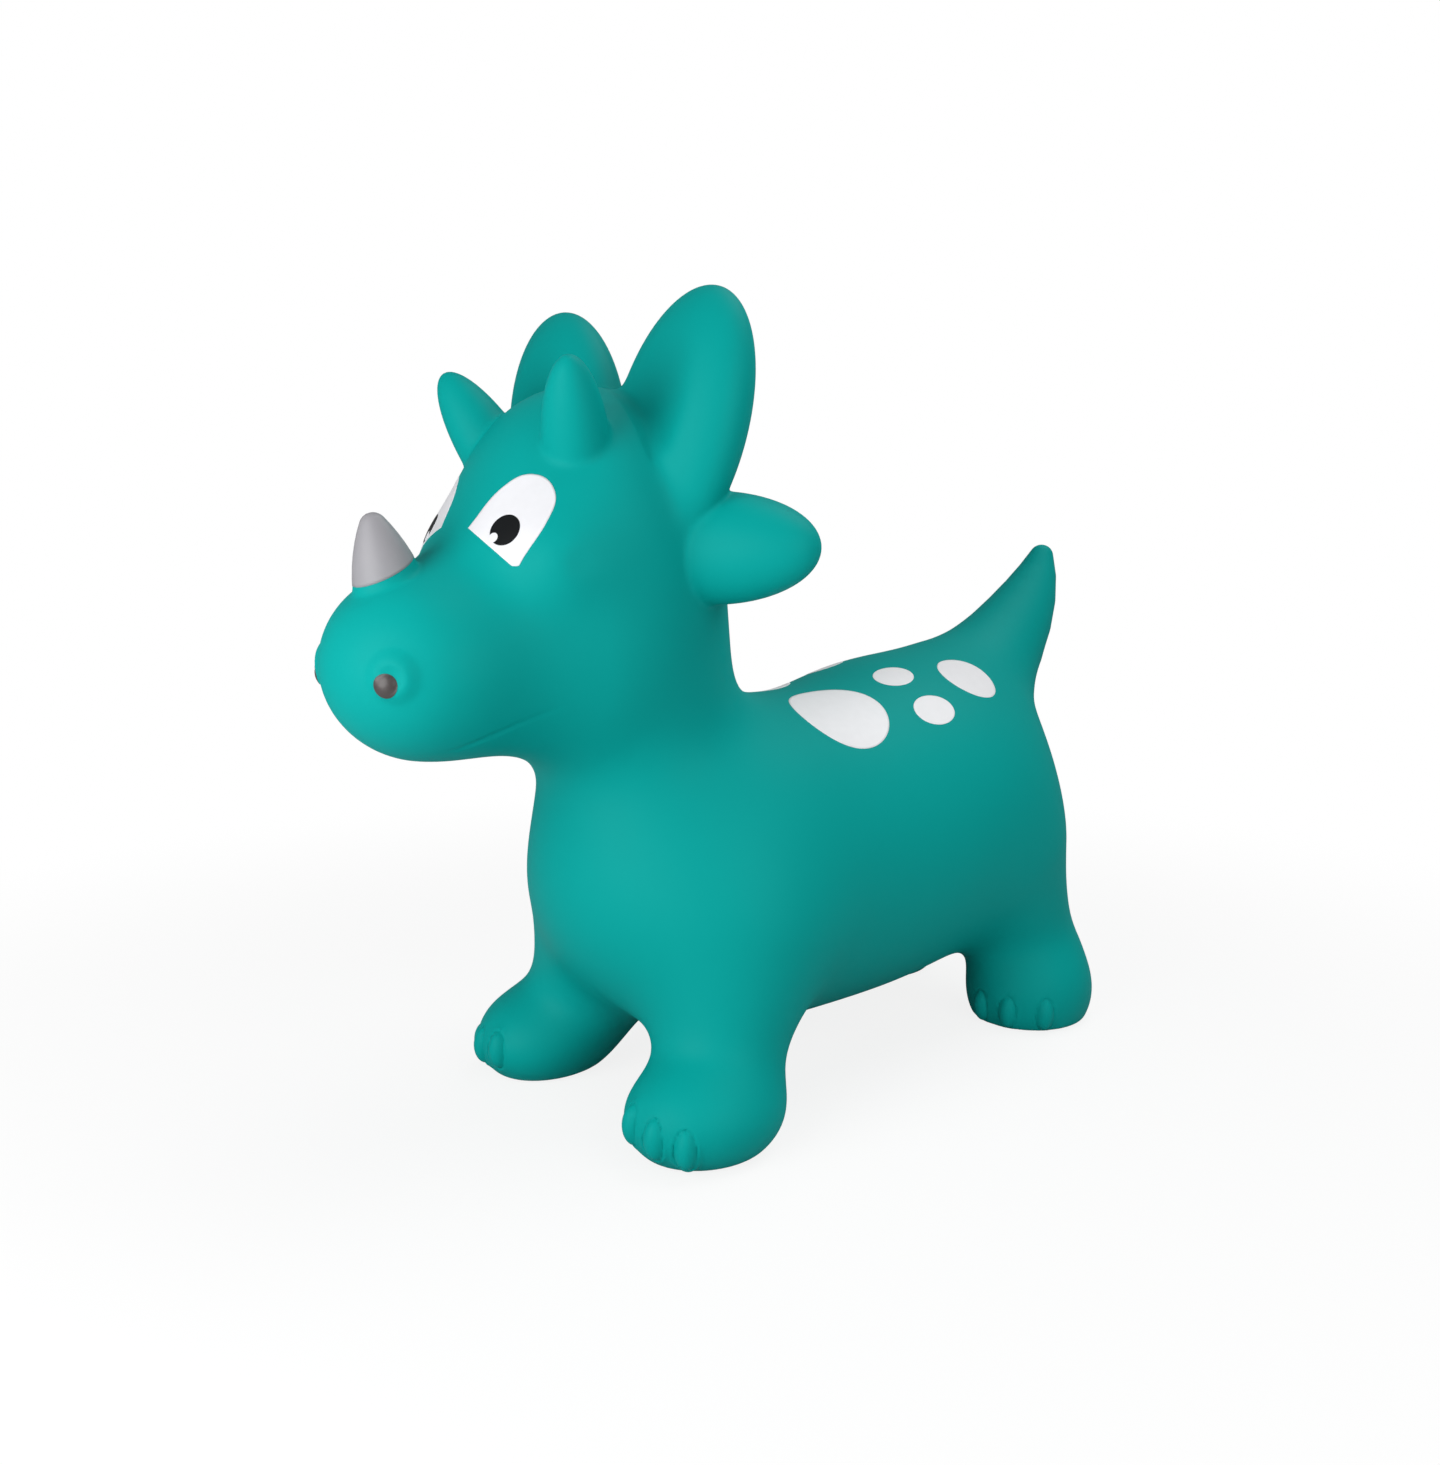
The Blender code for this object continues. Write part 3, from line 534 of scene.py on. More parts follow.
def head_form(form, point, size):
    """Cranium, face, jaw and muzzle, and a nostril on each side of the muzzle."""
    form = form.joined(egg(point, size.cranium_at, size.cranium_half), size.cranium_blend)
    form = form.joined(egg(point, size.face_at, size.face_half), size.face_blend)
    jaw = round_cone(point, size.jaw_at, size.jaw_r, size.muzzle_at, size.chin_r)
    muzzle = egg(point, size.muzzle_at, size.muzzle_half).joined(jaw, size.jaw_blend)
    form = form.joined(muzzle, size.head_blend)
    axes = leaning(size.nostril_lean, UP)
    outward = axes[2]
    mound_at = moved(size.nostril_at, outward, size.mound_proud - apart(size.mound_half)[2])
    form = form.joined(egg(point, mound_at, size.mound_half, axes), size.mound_blend)
    dish_at = moved(size.nostril_at, outward, size.mound_proud - size.dish_depth + size.dish_r)
    form = form.carved(ball(point, dish_at, size.dish_r), size.dish_blend)
    ball_at = moved(size.ball_at, outward, size.ball_proud - size.ball_r)
    return form.joined(ball(point, ball_at, size.ball_r), size.ball_blend)


def leg_form(form, point, size, pair):
    """Both legs of the front or hind pair, each with its toes and their nails."""
    def own(name):
        return getattr(size, pair + name)

    leg = round_cone(point, own("hip_at"), own("hip_r"), own("ankle_at"), own("ankle_r"))
    foot = egg(point, own("foot_at"), own("foot_half"), turned_axes(size.foot_turn))
    form = form.joined(leg.joined(foot, size.foot_blend), size.leg_blend)
    half_wide, half_long = apart(own("foot_half"))[:2]
    foot_x, foot_y = apart(own("foot_at"))[:2]
    for turn, height in zip(apart(own("toes")), apart(own("toe_heights"))):
        in_foot = turn - size.foot_turn
        wide, long = in_foot.math("SINE") / half_wide, in_foot.math("COSINE") / half_long
        edge = 1.0 / (wide * wide + long * long).root()
        digits = []
        for digit_half, proud in ((size.toe_half, size.toe_proud), (size.nail_half, size.nail_proud)):
            out = edge + proud - apart(digit_half)[1]
            ahead, aside = turn.math("COSINE") * out, turn.math("SINE") * out
            centre = together(foot_x + aside, foot_y - ahead, height)
            digits.append(egg(point, centre, digit_half, turned_axes(turn)))
        toe, nail = digits
        form = form.joined(toe, size.toe_blend)
        form = form.engraved(nail, size.nail_groove, size.nail_groove_depth)
        form = form.joined(nail, size.nail_blend)
    return form


def bent_cone(point, start, start_r, bend, bend_r, end, end_r):
    """Tapered form along a bent curve, in short straight cones."""
    rings = []
    for step in range(BEND_STEPS + 1):
        part = step / BEND_STEPS
        radius = on_curve(start_r, bend_r, end_r, part)
        rings.append((on_curve(start, bend, end, part), apart(radius)[0]))
    form = ball(point, *rings[0])
    for ring, following in zip(rings, rings[1:]):
        form = form.math("MINIMUM", round_cone(point, *ring, *following))
    return form


def tail_form(form, point, size):
    """Tail bent up to its tip."""
    tail = bent_cone(point, size.tail_root_at, size.tail_root_r, size.tail_bend_at, size.tail_bend_r,
                     size.tail_tip_at, size.tail_tip_r)
    return form.joined(tail, size.tail_blend)


def horn_form(form, point, size):
    """Brow horns, nose horn, upright frill lobes and side lobes."""
    brow_horn = egg(point, size.brow_horn_at, size.brow_horn_half, leaning(size.brow_horn_lean, ACROSS))
    nose_middle = size.nose_horn_at.vector("ADD", size.nose_tip_at).vector("MULTIPLY", [0.5] * 3)
    nose_horn = bent_cone(point, size.nose_horn_at, size.nose_horn_r, nose_middle, size.nose_bend_r,
                          size.nose_tip_at, size.nose_tip_r)
    lobe_axes = leaning(size.frill_lean, ACROSS)
    hollow_back = size.hollow_depth - apart(size.frill_half)[1] - apart(size.hollow_half)[1]
    hollow_at = size.frill_at
    for axis, shift in zip(lobe_axes, (size.hollow_in * -1.0, hollow_back, size.hollow_up)):
        hollow_at = moved(hollow_at, axis, shift)
    frill = egg(point, size.frill_at, size.frill_half, lobe_axes)
    frill = frill.carved(egg(point, hollow_at, size.hollow_half, lobe_axes), size.hollow_blend)
    ear = egg(point, size.ear_at, size.ear_half, leaning(size.ear_lean, UP))
    form = form.joined(brow_horn, size.brow_horn_blend)
    form = form.joined(nose_horn, size.nose_horn_blend)
    form = form.joined(frill, size.frill_blend)
    return form.joined(ear, size.ear_blend)


def mouth_form(form, point, size):
    """Crease of the mouth, thinner towards both ends."""
    front, back = (round_cone(point, size.mouth_bend_at, size.mouth_r, end, size.mouth_end_r)
                   for end in (size.mouth_front_at, size.mouth_corner_at))
    crease = front.math("MINIMUM", back).math("MAXIMUM", 0.0)
    return form.engraved(crease, size.mouth_width, size.mouth_depth)


def own_properties(group):
    """Properties that a group of settings declares itself."""
    return [item for item in group.bl_rna.properties if item.identifier not in ("rna_type", "name")]


def form_properties(settings):
    """Every size of the animal's form, with the group of settings that holds it."""
    groups = [getattr(settings, name) for name in FORM_GROUPS]
    return [(group, item) for group in groups for item in own_properties(group)]


def form_tree(settings):
    """Node group that gives the distance from the animal's outside, with an input for each size."""
    name = "animal form"
    if name in bpy.data.node_groups:
        return bpy.data.node_groups[name]
    tree = bpy.data.node_groups.new(name, "GeometryNodeTree")
    tree.interface.new_socket("Distance", in_out="OUTPUT", socket_type="NodeSocketFloat")
    items = [item for _, item in form_properties(settings)]
    for item in items:
        kind = "NodeSocketVector" if item.is_array else "NodeSocketFloat"
        tree.interface.new_socket(item.name, in_out="INPUT", socket_type=kind)
    given = tree.nodes.new("NodeGroupInput")
    size = SimpleNamespace(**{item.identifier: Value(given.outputs[item.name]) for item in items})
    x, y, z = apart(Value.node(tree, "GeometryNodeInputPosition"))
    point = together(x.math("ABSOLUTE"), y, z)
    form = head_form(torso_form(point, size), point, size)
    for pair in ("front_", "hind_"):
        form = leg_form(form, point, size, pair)
    form = horn_form(tail_form(form, point, size), point, size)
    form = mouth_form(form, point, size)
    Value.fill(tree.nodes.new("NodeGroupOutput"), {"Distance": form.carved(z, size.sole_blend)})
    return tree


def form_distance(tree, settings):
    """The form's node group in another tree, with its sizes filled in."""
    sizes = {item.name: getattr(group, item.identifier) for group, item in form_properties(settings)}
    return Value.node(tree, "GeometryNodeGroup", {"node_tree": form_tree(settings)}, sizes)


def new_tree(name, inputs):
    """Geometry tree with a geometry in and out and named inputs, and a value for each of its inputs."""
    tree = bpy.data.node_groups.new(name, "GeometryNodeTree")
    tree.interface.new_socket("Geometry", in_out="OUTPUT", socket_type="NodeSocketGeometry")
    tree.interface.new_socket("Geometry", in_out="INPUT", socket_type="NodeSocketGeometry")
    for label, kind in inputs.items():
        tree.interface.new_socket(label, in_out="INPUT", socket_type="NodeSocket" + kind)
    given = tree.nodes.new("NodeGroupInput")
    return tree, {socket.name: Value(socket) for socket in given.outputs if socket.name}


def end_tree(tree, geometry, material):
    """Last nodes of a tree: smooth faces, no instances and the material."""
    geometry = Value.node(tree, "GeometryNodeSetShadeSmooth", sockets={"Geometry": geometry})
    geometry = Value.node(tree, "GeometryNodeRealizeInstances", sockets={"Geometry": geometry})
    geometry = Value.node(tree, "GeometryNodeSetMaterial", sockets={
        "Geometry": geometry, "Material": material})
    Value.fill(tree.nodes.new("NodeGroupOutput"), {"Geometry": geometry})


def settled(tree, geometry, distance, lift, rounds):
    """Geometry whose points are moved along their normals until they lie a little over the form."""
    normal = Value.node(tree, "GeometryNodeInputNormal")
    for _ in range(rounds):
        geometry = Value.node(tree, "GeometryNodeSetPosition", sockets={
            "Geometry": geometry, "Offset": normal.vector("MULTIPLY", lift - distance)})
    return geometry


def skin_tree(settings):
    """Tree that meshes the form's surface in a box, splits the faces and sets them on the form."""
    tree, given = new_tree("skin", {"Box Low": "Vector", "Box High": "Vector", "Voxel": "Float",
                                    "Splits": "Int", "Material": "Material"})
    distance = form_distance(tree, settings)
    span = given["Box High"].vector("SUBTRACT", given["Box Low"])
    counts = apart(span.vector("DIVIDE", given["Voxel"]))
    volume = Value.node(tree, "GeometryNodeVolumeCube", sockets={
        "Density": distance * -1.0, "Background": -1.0,
        "Min": given["Box Low"], "Max": given["Box High"],
        "Resolution X": counts[0], "Resolution Y": counts[1], "Resolution Z": counts[2]})
    mesh = Value.node(tree, "GeometryNodeVolumeToMesh", sockets={"Volume": volume, "Threshold": 0.0})
    mesh = settled(tree, mesh, distance, 0.0, ROUGH_ROUNDS)
    mesh = Value.node(tree, "GeometryNodeSubdivideMesh", sockets={"Mesh": mesh, "Level": given["Splits"]})
    end_tree(tree, settled(tree, mesh, distance, 0.0, FINE_ROUNDS), given["Material"])
    return tree


def settle_tree(settings):
    """Tree that sets a mesh's points exactly on the form."""
    tree, given = new_tree("settle", {"Material": "Material"})
    mesh = settled(tree, given["Geometry"], form_distance(tree, settings), 0.0, FINE_ROUNDS)
    end_tree(tree, mesh, given["Material"])
    return tree


def print_tree(settings):
    """Tree that spans an outline curve with rings round a middle and lays them on the form."""
    tree, given = new_tree("print", {"Middle": "Vector", "Steps": "Int", "Rings": "Int", "Lift": "Float",
                                     "Material": "Material"})
    grid = Value.node(tree, "GeometryNodeMeshGrid", sockets={
        "Size X": 1.0, "Size Y": 1.0,
        "Vertices X": given["Steps"] + 1.0, "Vertices Y": given["Rings"] + 1.0})
    x, y = apart(Value.node(tree, "GeometryNodeInputPosition"))[:2]
    edge = Value.node(tree, "GeometryNodeSampleCurve", {"mode": "FACTOR"},
                      {"Curves": given["Geometry"], "Factor": x + 0.5}, "Position")
    reach = edge.vector("SUBTRACT", given["Middle"]).vector("MULTIPLY", 0.5 - y)
    disc = Value.node(tree, "GeometryNodeSetPosition", sockets={
        "Geometry": grid, "Position": reach.vector("ADD", given["Middle"])})
    disc = Value.node(tree, "GeometryNodeMergeByDistance", sockets={"Geometry": disc, "Distance": TINY})
    disc = settled(tree, disc, form_distance(tree, settings), given["Lift"], PRINT_ROUNDS)
    end_tree(tree, disc, given["Material"])
    return tree


def with_tree(thing, tree, values):
    """Nodes modifier on an object, with its inputs set by their identifiers."""
    modifier = thing.modifiers.new(tree.name, "NODES")
    modifier.node_group = tree
    for item in tree.interface.items_tree:
        if item.in_out == "INPUT" and item.name in values:
            modifier[item.identifier] = values[item.name]


def plain_mesh(thing, name):
    """Copy of an object's mesh with its modifiers worked in, and the object removed."""
    bpy.context.view_layer.update()
    graph = bpy.context.evaluated_depsgraph_get()
    mesh = bpy.data.meshes.new_from_object(thing.evaluated_get(graph))
    mesh.name = name
    bpy.data.objects.remove(thing)
    return mesh


def shown(name, data):
    thing = bpy.data.objects.new(name, data)
    bpy.context.scene.collection.objects.link(thing)
    return thing


def piece(name, mesh, body, slot, *nodes):
    """Finished piece that rides on a body and stands for its nodes."""
    thing = shown(name, mesh)
    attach(thing, body)
    if nodes:
        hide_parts(*nodes)
    return thing


def mirrored(mesh, name):
    """Copy of a mesh for the animal's right side."""
    copy = mesh.copy()
    copy.name = name
    copy.transform(Matrix.Scale(-1.0, 4, ACROSS))
    copy.flip_normals()
    return copy


def placed(centre, facing, across):
    """Matrix that sets a flat outline at a point, facing along one direction."""
    third = Vector(facing).normalized()
    first = (Vector(across) - third * third.dot(Vector(across))).normalized()
    matrix = Matrix((first, third.cross(first), third)).transposed().to_4x4()
    matrix.translation = centre
    return matrix


def oval(half_across, half_up):
    """Outline of an ellipse as four smooth points."""
    quarters = [pi / 2.0 * step for step in range(4)]
    return [(half_across * cos(turn), half_up * sin(turn), "AUTO") for turn in quarters]


def laid_print(name, outline, matrix, settings, material, middle=(0.0, 0.0, 0.0), layer=1):
    """Thin closed coat over the skin inside an outline drawn in a matrix's plane."""
    prints = settings.prints
    curve = bpy.data.curves.new(name, "CURVE")
    curve.dimensions = "3D"
    curve.resolution_u = CURVE_STEPS
    spline = curve.splines.new("BEZIER")
    spline.bezier_points.add(len(outline) - 1)
    spline.use_cyclic_u = True
    for point, (across, up, handle) in zip(spline.bezier_points, outline):
        point.co = (across, up, 0.0)
        point.handle_left_type = point.handle_right_type = handle
    drawn = shown(name, curve)
    bpy.context.view_layer.update()
    curve.transform(matrix)
    with_tree(drawn, print_tree(settings), {
        "Middle": matrix @ Vector(middle), "Steps": prints.steps, "Rings": prints.rings,
        "Lift": prints.lift * layer, "Material": material})
    coat = shown(name, plain_mesh(drawn, name))
    thick = coat.modifiers.new("coat", "SOLIDIFY")
    thick.thickness = prints.coat
    thick.offset = -1.0
    return plain_mesh(coat, name)


def paired_prints(name, outline, matrix, settings, material, slot, layer=1):
    """A print on the left and its mirror image on the right, each in place of its node."""
    mesh = laid_print(name + "_left", outline, matrix, settings, material, layer=layer)
    for side, side_mesh in (("_left", mesh), ("_right", mirrored(mesh, name + "_right"))):
        node = name + side
        nodes = [node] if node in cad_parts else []
        piece("laid_" + node, side_mesh, TOY, slot, *nodes)


def turned_mesh(name, outline):
    """Closed mesh turned about the valve's axis from an outline of radius and height, top first."""
    made = bmesh.new()
    corners = [made.verts.new((radius, 0.0, height)) for radius, height in outline]
    edges = [made.edges.new(pair) for pair in zip(corners, corners[1:])]
    if outline[0][0] > TINY:
        edges.append(made.edges.new((corners[-1], corners[0])))
    bmesh.ops.spin(made, geom=corners + edges, axis=UP, cent=(0.0, 0.0, 0.0), angle=2.0 * pi,
                   steps=TURN_STEPS)
    bmesh.ops.remove_doubles(made, verts=made.verts, dist=TINY)
    bmesh.ops.recalc_face_normals(made, faces=made.faces)
    mesh = bpy.data.meshes.new(name)
    made.to_mesh(mesh)
    made.free()
    mesh.transform(Matrix.Translation(VALVE_AT))
    return mesh


def turned_piece(name, outline, edge, material, body, node):
    """Turned piece with rounded edges, in place of a node of the valve."""
    rough = shown(name, turned_mesh(name, outline))
    rounding = rough.modifiers.new("rounding", "BEVEL")
    rounding.width = edge
    rounding.segments = EDGE_STEPS
    rounding.limit_method = "ANGLE"
    finished = plain_mesh(rough, name)
    finished.shade_smooth()
    finished.materials.append(material)
    piece(name, finished, body, "white_plastic", node)


def mixed(tree, factor, first, second):
    """Colour between two colours."""
    return Value.node(tree, "ShaderNodeMix", {"data_type": "RGBA"}, {
        "Factor": factor, MIX_FIRST: (*first, 1.0), MIX_SECOND: (*second, 1.0)}, MIX_RESULT)


def mottled(tree, factor, tone, deepest):
    """Colour between a tone and a share of it."""
    return mixed(tree, factor, [part * deepest for part in tone], tone)


def noise(tree, point, scale, detail, roughness=0.5):
    return Value.node(tree, "ShaderNodeTexNoise", sockets={
        "Vector": point, "Scale": scale, "Detail": detail, "Roughness": roughness})


def vinyl_grain(tree, point):
    """Fine grain of the vinyl, which shows through the prints too."""
    return noise(tree, point, scale=1400.0, detail=2.0, roughness=0.6)


def bumped(tree, height, strength, distance):
    return Value.node(tree, "ShaderNodeBump", sockets={
        "Height": height, "Strength": strength, "Distance": distance})


def new_finish(name):
    """Material with its tree, its Object coordinates and its Principled shader."""
    material = bpy.data.materials.new(name)
    material.use_nodes = True
    tree = material.node_tree
    point = Value.node(tree, "ShaderNodeTexCoord", output="Object")
    return material, tree, point, tree.nodes["Principled BSDF"]


def vinyl_finish(finishes):
    """Satin soft vinyl: cloudy tone, fine matt grain and a soft orange-peel skin."""
    material, tree, point, shader = new_finish("teal vinyl")
    cloud = noise(tree, point, scale=7.0, detail=3.0)
    grain = vinyl_grain(tree, point)
    peel = noise(tree, point, scale=240.0, detail=1.0)
    Value.fill(shader, {
        "Base Color": mixed(tree, cloud, finishes.vinyl_deep, finishes.vinyl),
        "Roughness": 0.46 + 0.10 * cloud + 0.06 * grain,
        "Normal": bumped(tree, 0.75 * peel + 0.25 * grain, strength=0.10, distance=0.0004),
        "Specular IOR Level": 0.25,
        "IOR": 1.2,
    })
    return material


def ink_finish(name, tone, roughness, specular):
    """Printed ink: an even coat with faint mottling and the grain of the vinyl under it."""
    material, tree, point, shader = new_finish(name)
    mottle = noise(tree, point, scale=160.0, detail=3.0)
    grain = vinyl_grain(tree, point)
    Value.fill(shader, {
        "Base Color": mottled(tree, mottle, tone, deepest=0.94),
        "Roughness": roughness + 0.08 * mottle,
        "Normal": bumped(tree, 0.5 * mottle + 0.5 * grain, strength=0.10, distance=0.0003),
        "Specular IOR Level": specular,
    })
    return material


def bush_finish(finishes):
    """Moulded plastic of the valve, a little cloudy."""
    material, tree, point, shader = new_finish("valve plastic")
    cloud = noise(tree, point, scale=120.0, detail=3.0)
    grain = noise(tree, point, scale=2500.0, detail=2.0)
    Value.fill(shader, {
        "Base Color": mottled(tree, cloud, finishes.bush, deepest=0.93),
        "Roughness": 0.34 + 0.12 * cloud,
        "Normal": bumped(tree, grain, strength=0.08, distance=0.0002),
    })
    return material


class HOPPER_OT_skin(bpy.types.Operator):
    """Mesh the blended skin and cut the valve's recess and hole into its belly"""
    bl_idname = "hopper.skin"
    bl_label = "Skin"

    def execute(self, context):
        settings = context.scene.hopper
        grid, valve = settings.mesh, settings.valve
        vinyl = vinyl_finish(settings.finishes)
        margin = Vector((1.0, 1.0, 1.0)) * MARGIN_CELLS * grid.voxel
        maker = shown("skin_maker", bpy.data.meshes.new("skin_maker"))
        with_tree(maker, skin_tree(settings), {
            "Box Low": CAD_LOW - margin, "Box High": CAD_HIGH + margin, "Voxel": grid.voxel,
            "Splits": grid.splits, "Material": vinyl})
        rough = shown("skin_rough", plain_mesh(maker, "skin_rough"))
        thin = rough.modifiers.new("thin", "DECIMATE")
        thin.ratio = min(1.0, grid.triangles / (2.0 * len(rough.data.polygons)))
        with_tree(rough, settle_tree(settings), {"Material": vinyl})
        pad, top = SEAT_LOW.z + valve.flange, SEAT_HIGH.z + valve.flange
        pit = turned_mesh("valve_pit", (
            (0.0, top), (valve.hole_r, top), (valve.hole_r, pad), (valve.pad_r, pad), (valve.pad_r, 0.0),
            (0.0, 0.0)))
        pit.materials.append(vinyl)
        cutter = shown("valve_pit", pit)
        cut = rough.modifiers.new("valve_pit", "BOOLEAN")
        cut.object = cutter
        mesh = plain_mesh(rough, "vinyl_skin")
        bpy.data.objects.remove(cutter)
        mesh.set_sharp_from_angle(angle=SHARP_ANGLE)
        piece("vinyl_skin", mesh, TOY, "teal_vinyl", "skin")
        return {"FINISHED"}


class HOPPER_OT_eyes(bpy.types.Operator):
    """Print the white, the pupil and the glint of each eye"""
    bl_idname = "hopper.eyes"
    bl_label = "Eyes"

    def execute(self, context):
        settings = context.scene.hopper
        prints, finishes = settings.prints, settings.finishes
        white = ink_finish("white eye ink", finishes.eye_ink, roughness=0.44, specular=0.3)
        black = ink_finish("black ink", finishes.black_ink, roughness=0.40, specular=0.12)
        facing = Vector(prints.eye_lean)
        eye = placed(prints.eye_at, facing, UP.cross(facing))
        outline = [(*point, "VECTOR") for point in prints.eye_outline[:EYE_CORNERS]]
        outline += [(*point, "AUTO") for point in prints.eye_outline[EYE_CORNERS:]]
        paired_prints("eye_white", outline, eye, settings, white, "white_print")
        for name, centre, radius, ink, slot, layer in (
                ("pupil", prints.pupil_at, prints.pupil_r, black, "black_print", 2),
                ("glint", prints.glint_at, prints.glint_r, white, "white_print", 3)):
            matrix = eye @ Matrix.Translation((*centre, 0.0))
            paired_prints(name, oval(radius, radius), matrix, settings, ink, slot, layer)
        return {"FINISHED"}


class HOPPER_OT_spots(bpy.types.Operator):
    """Print the round spots on both sides of the back"""
    bl_idname = "hopper.spots"
    bl_label = "Spots"

    def execute(self, context):
        settings = context.scene.hopper
        prints, torso = settings.prints, settings.torso
        white = ink_finish("white spot ink", settings.finishes.spot_ink, roughness=0.46, specular=0.25)
        for name in ("large", "small", "middle", "rear"):
            back, half_along, half_across = getattr(prints, name + "_spot")
            tilt = getattr(prints, name + "_tilt")
            outward = Vector((sin(tilt), 0.0, cos(tilt)))
            centre = Vector(torso.rump_at) + REAR * back + outward * torso.rump_half[2]
            paired_prints("spot_" + name, oval(half_along, half_across), placed(centre, outward, REAR),
                          settings, white, "white_print")
        return {"FINISHED"}


class HOPPER_OT_nose_coats(bpy.types.Operator):
    """Coat the nose horn in grey and put a dark dot on each nostril"""
    bl_idname = "hopper.nose_coats"
    bl_label = "Nose Coats"

    def execute(self, context):
        settings = context.scene.hopper
        prints, horns, head = settings.prints, settings.horns, settings.head
        grey = ink_finish("grey horn ink", settings.finishes.grey_ink, roughness=0.42, specular=0.3)
        dark = ink_finish("dark nostril ink", settings.finishes.dark_ink, roughness=0.34, specular=0.5)
        axis = (Vector(horns.nose_tip_at) - Vector(horns.nose_horn_at)).normalized()
        foot = Vector(horns.nose_horn_at) + axis * prints.nose_coat_height
        apex = Vector(horns.nose_tip_at) + axis * horns.nose_tip_r
        ring = placed(foot, prints.nose_coat_lean, ACROSS)
        coat = laid_print("nose_horn_coat", oval(prints.nose_coat_r, prints.nose_coat_r), ring, settings,
                          grey, middle=ring.inverted() @ apex)
        piece("laid_nose_horn_coat", coat, TOY, "grey_print", "nose_horn_coat")
        facing = Vector(head.nostril_lean)
        paired_prints("nostril_coat", oval(prints.dot_r, prints.dot_r),
                      placed(head.ball_at, facing, UP.cross(facing)), settings, dark, "dark_print")
        return {"FINISHED"}


class HOPPER_OT_valve(bpy.types.Operator):
    """Turn the valve's bush and its stopper"""
    bl_idname = "hopper.valve"
    bl_label = "Valve"

    def execute(self, context):
        settings = context.scene.hopper
        valve = settings.valve
        plastic = bush_finish(settings.finishes)
        top, bottom = SEAT_HIGH.z, SEAT_LOW.z
        flange_r = (SEAT_HIGH.x - SEAT_LOW.x) / 2.0
        flange_top = bottom + valve.flange
        turned_piece("valve_bush", (
            (valve.bore_r, top), (valve.tube_r, top), (valve.tube_r, flange_top), (flange_r, flange_top),
            (flange_r, bottom), (valve.bore_r, bottom)), valve.edge, plastic, TOY, "valve_seat")
        top, bottom = PLUG_HIGH.z, PLUG_LOW.z
        head_r = (PLUG_HIGH.x - PLUG_LOW.x) / 2.0
        head_top = bottom + valve.head
        turned_piece("valve_stopper", (
            (0.0, top), (valve.shank_r, top), (valve.shank_r, head_top), (head_r, head_top),
            (head_r, bottom), (0.0, bottom)), valve.edge, plastic, STOPPER, "valve_plug")
        return {"FINISHED"}


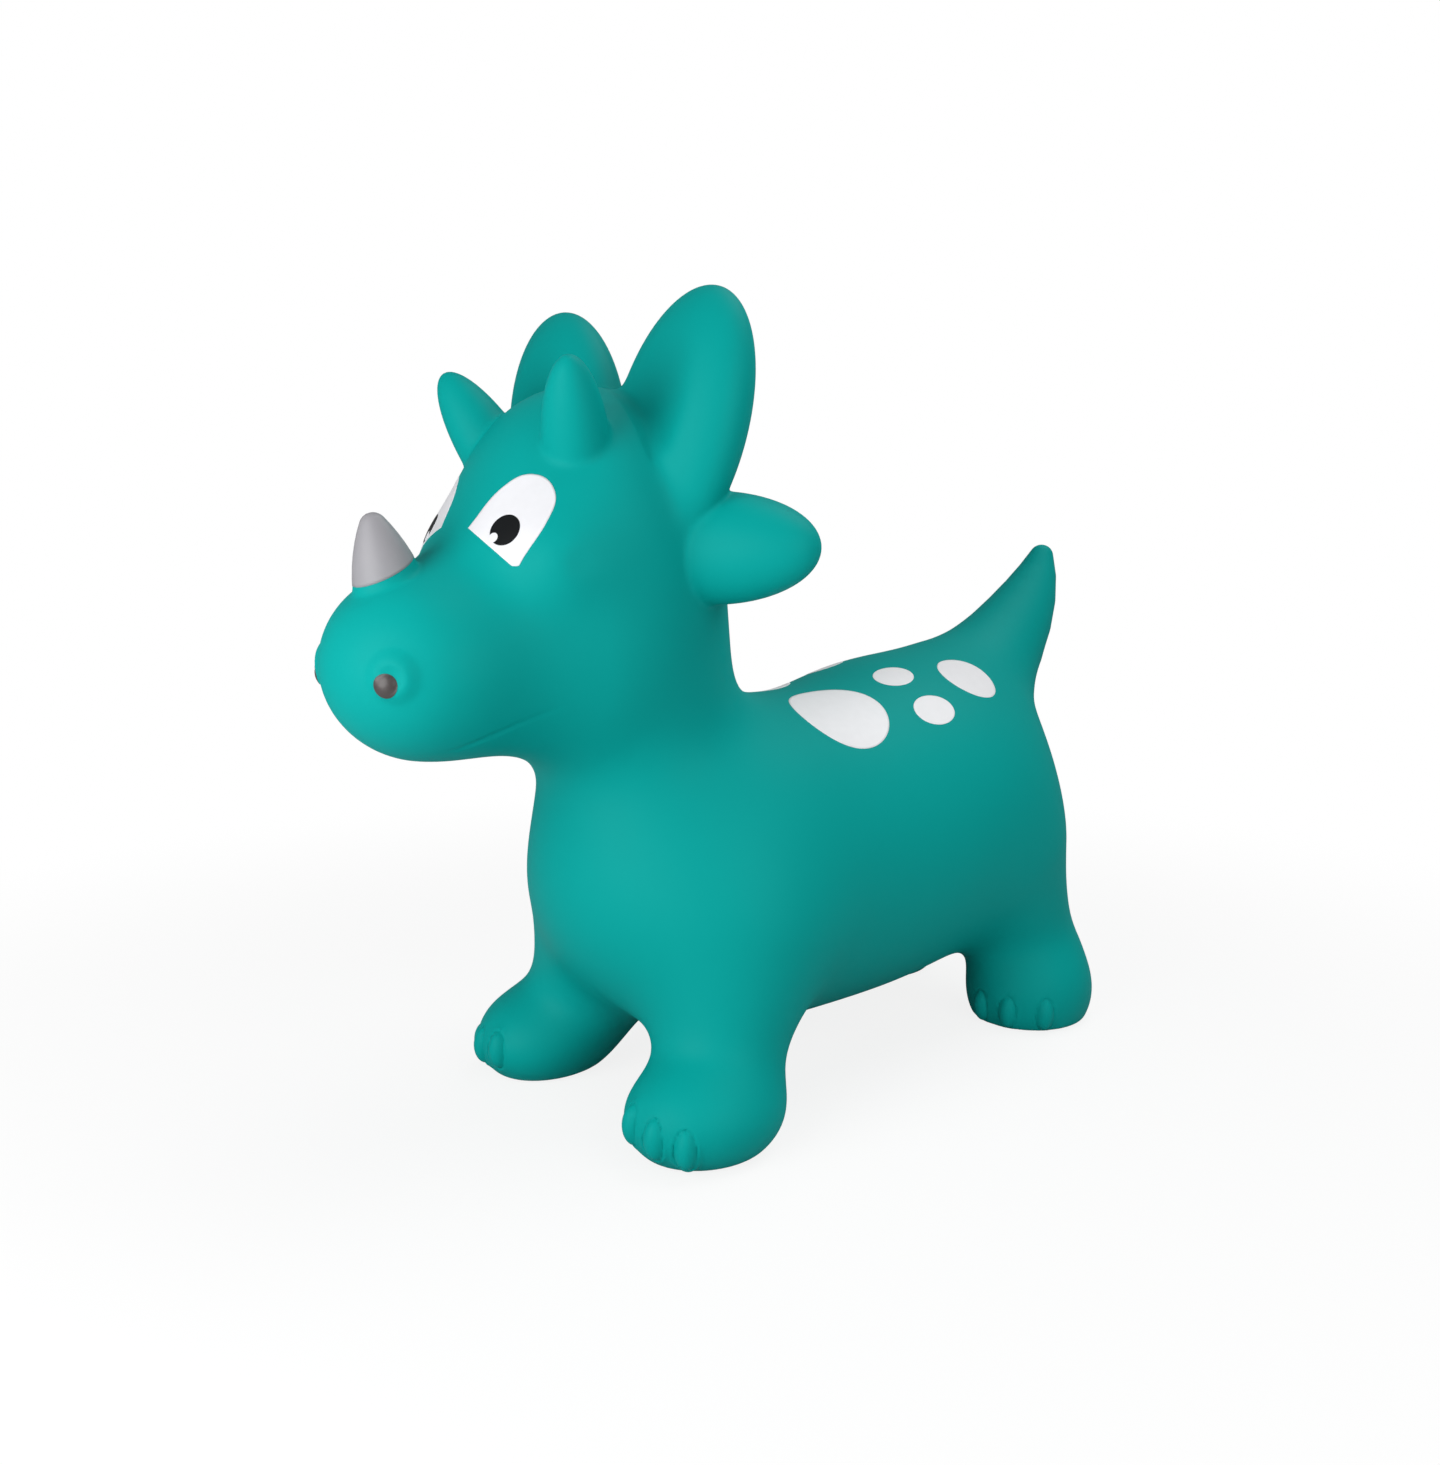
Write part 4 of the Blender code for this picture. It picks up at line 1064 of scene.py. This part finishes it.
class HOPPER_OT_stage(bpy.types.Operator):
    """Set the floor, the lamps, the sky and the camera"""
    bl_idname = "hopper.stage"
    bl_label = "Stage"

    def execute(self, context):
        studio = context.scene.hopper.studio
        self.lay_floor(studio)
        self.light_sky(context.scene, studio)
        for name in ("key", "side", "top"):
            self.hang_lamp(name, *(getattr(studio, name + part) for part in ("_at", "_span", "_power")))
        camera = bpy.data.cameras.new("camera")
        camera.sensor_fit = "HORIZONTAL"
        camera.lens = studio.camera_lens
        viewer = shown("camera", camera)
        viewer.location = studio.camera_at
        viewer.rotation_euler = (pi / 2.0 - studio.camera_pitch, 0.0, studio.camera_azimuth)
        context.scene.camera = viewer
        context.scene.view_settings.view_transform = "Standard"
        return {"FINISHED"}

    def lay_floor(self, studio):
        """Pale floor: the camera sees part of it as plain white, so that shadows stay soft."""
        made = bmesh.new()
        bmesh.ops.create_grid(made, x_segments=1, y_segments=1, size=studio.floor_span / 2.0)
        mesh = bpy.data.meshes.new("floor")
        made.to_mesh(mesh)
        made.free()
        floor = shown("floor", mesh)
        floor.location.z = CAD_LOW.z - studio.floor_gap
        material = bpy.data.materials.new("pale floor")
        material.use_nodes = True
        tree = material.node_tree
        tree.nodes.clear()
        seen = Value.node(tree, "ShaderNodeLightPath", output="Is Camera Ray")
        away = Value.node(tree, "ShaderNodeTexCoord", output="Object").vector("LENGTH")
        far = Value.node(tree, "ShaderNodeMapRange", {"interpolation_type": "SMOOTHSTEP"}, {
            "Value": away, "From Min": studio.floor_near, "From Max": studio.floor_far,
            "To Min": studio.floor_white, "To Max": 1.0})
        matt = Value.node(tree, "ShaderNodeBsdfDiffuse", sockets={
            "Color": seen * (studio.floor_tone - studio.floor_bounce) + studio.floor_bounce})
        white = Value.node(tree, "ShaderNodeEmission", sockets={"Color": WHITE, "Strength": 1.0})
        both = Value.node(tree, "ShaderNodeMixShader", sockets={0: seen * far, 1: matt, 2: white})
        Value.fill(tree.nodes.new("ShaderNodeOutputMaterial"), {"Surface": both})
        mesh.materials.append(material)

    def light_sky(self, scene, studio):
        """White sky for the camera, and an even, weaker light on the animal."""
        world = bpy.data.worlds.new("sky")
        world.use_nodes = True
        tree = world.node_tree
        seen = Value.node(tree, "ShaderNodeLightPath", output="Is Camera Ray")
        strength = seen * (1.0 - studio.sky) + studio.sky
        Value.fill(tree.nodes["Background"], {"Color": WHITE, "Strength": strength})
        scene.world = world

    def hang_lamp(self, name, hung_at, span, power):
        """Round soft lamp that faces the animal's middle."""
        lamp = bpy.data.lights.new(name, "AREA")
        lamp.shape = "DISK"
        lamp.size = span
        lamp.energy = power
        thing = shown(name, lamp)
        thing.visible_camera = False
        thing.location = hung_at
        beam = (CAD_LOW + CAD_HIGH) / 2.0 - Vector(hung_at)
        thing.rotation_euler = beam.to_track_quat("-Z", "Y").to_euler()


class HOPPER_PT_panel(bpy.types.Panel):
    """Sizes, colours and buttons of the hopper"""
    bl_label = "Animal Hopper"
    bl_space_type = "VIEW_3D"
    bl_region_type = "UI"
    bl_category = "Hopper"

    def draw(self, context):
        for operator in OPERATORS:
            self.layout.operator(operator.bl_idname)
        settings = context.scene.hopper
        for pointer in own_properties(settings):
            box = self.layout.box()
            box.label(text=pointer.identifier.capitalize())
            group = getattr(settings, pointer.identifier)
            for item in own_properties(group):
                box.prop(group, item.identifier)


SIZE_GROUPS = (TorsoSizes, HeadSizes, HornSizes, LegSizes, TailSizes, MouthSizes, PrintSizes, SkinMesh,
               ValveSizes, Finishes, StudioSizes, HopperSettings)
OPERATORS = (HOPPER_OT_skin, HOPPER_OT_eyes, HOPPER_OT_spots, HOPPER_OT_nose_coats, HOPPER_OT_valve,
             HOPPER_OT_stage)
CLASSES = (*SIZE_GROUPS, *OPERATORS, HOPPER_PT_panel)


def register():
    for item in CLASSES:
        bpy.utils.register_class(item)
    bpy.types.Scene.hopper = PointerProperty(type=HopperSettings)


def unregister():
    del bpy.types.Scene.hopper
    for item in reversed(CLASSES):
        bpy.utils.unregister_class(item)


def main():
    register()
    bpy.ops.hopper.skin()
    bpy.ops.hopper.eyes()
    bpy.ops.hopper.spots()
    bpy.ops.hopper.nose_coats()
    bpy.ops.hopper.valve()
    bpy.ops.hopper.stage()


if __name__ == "__main__":
    main()
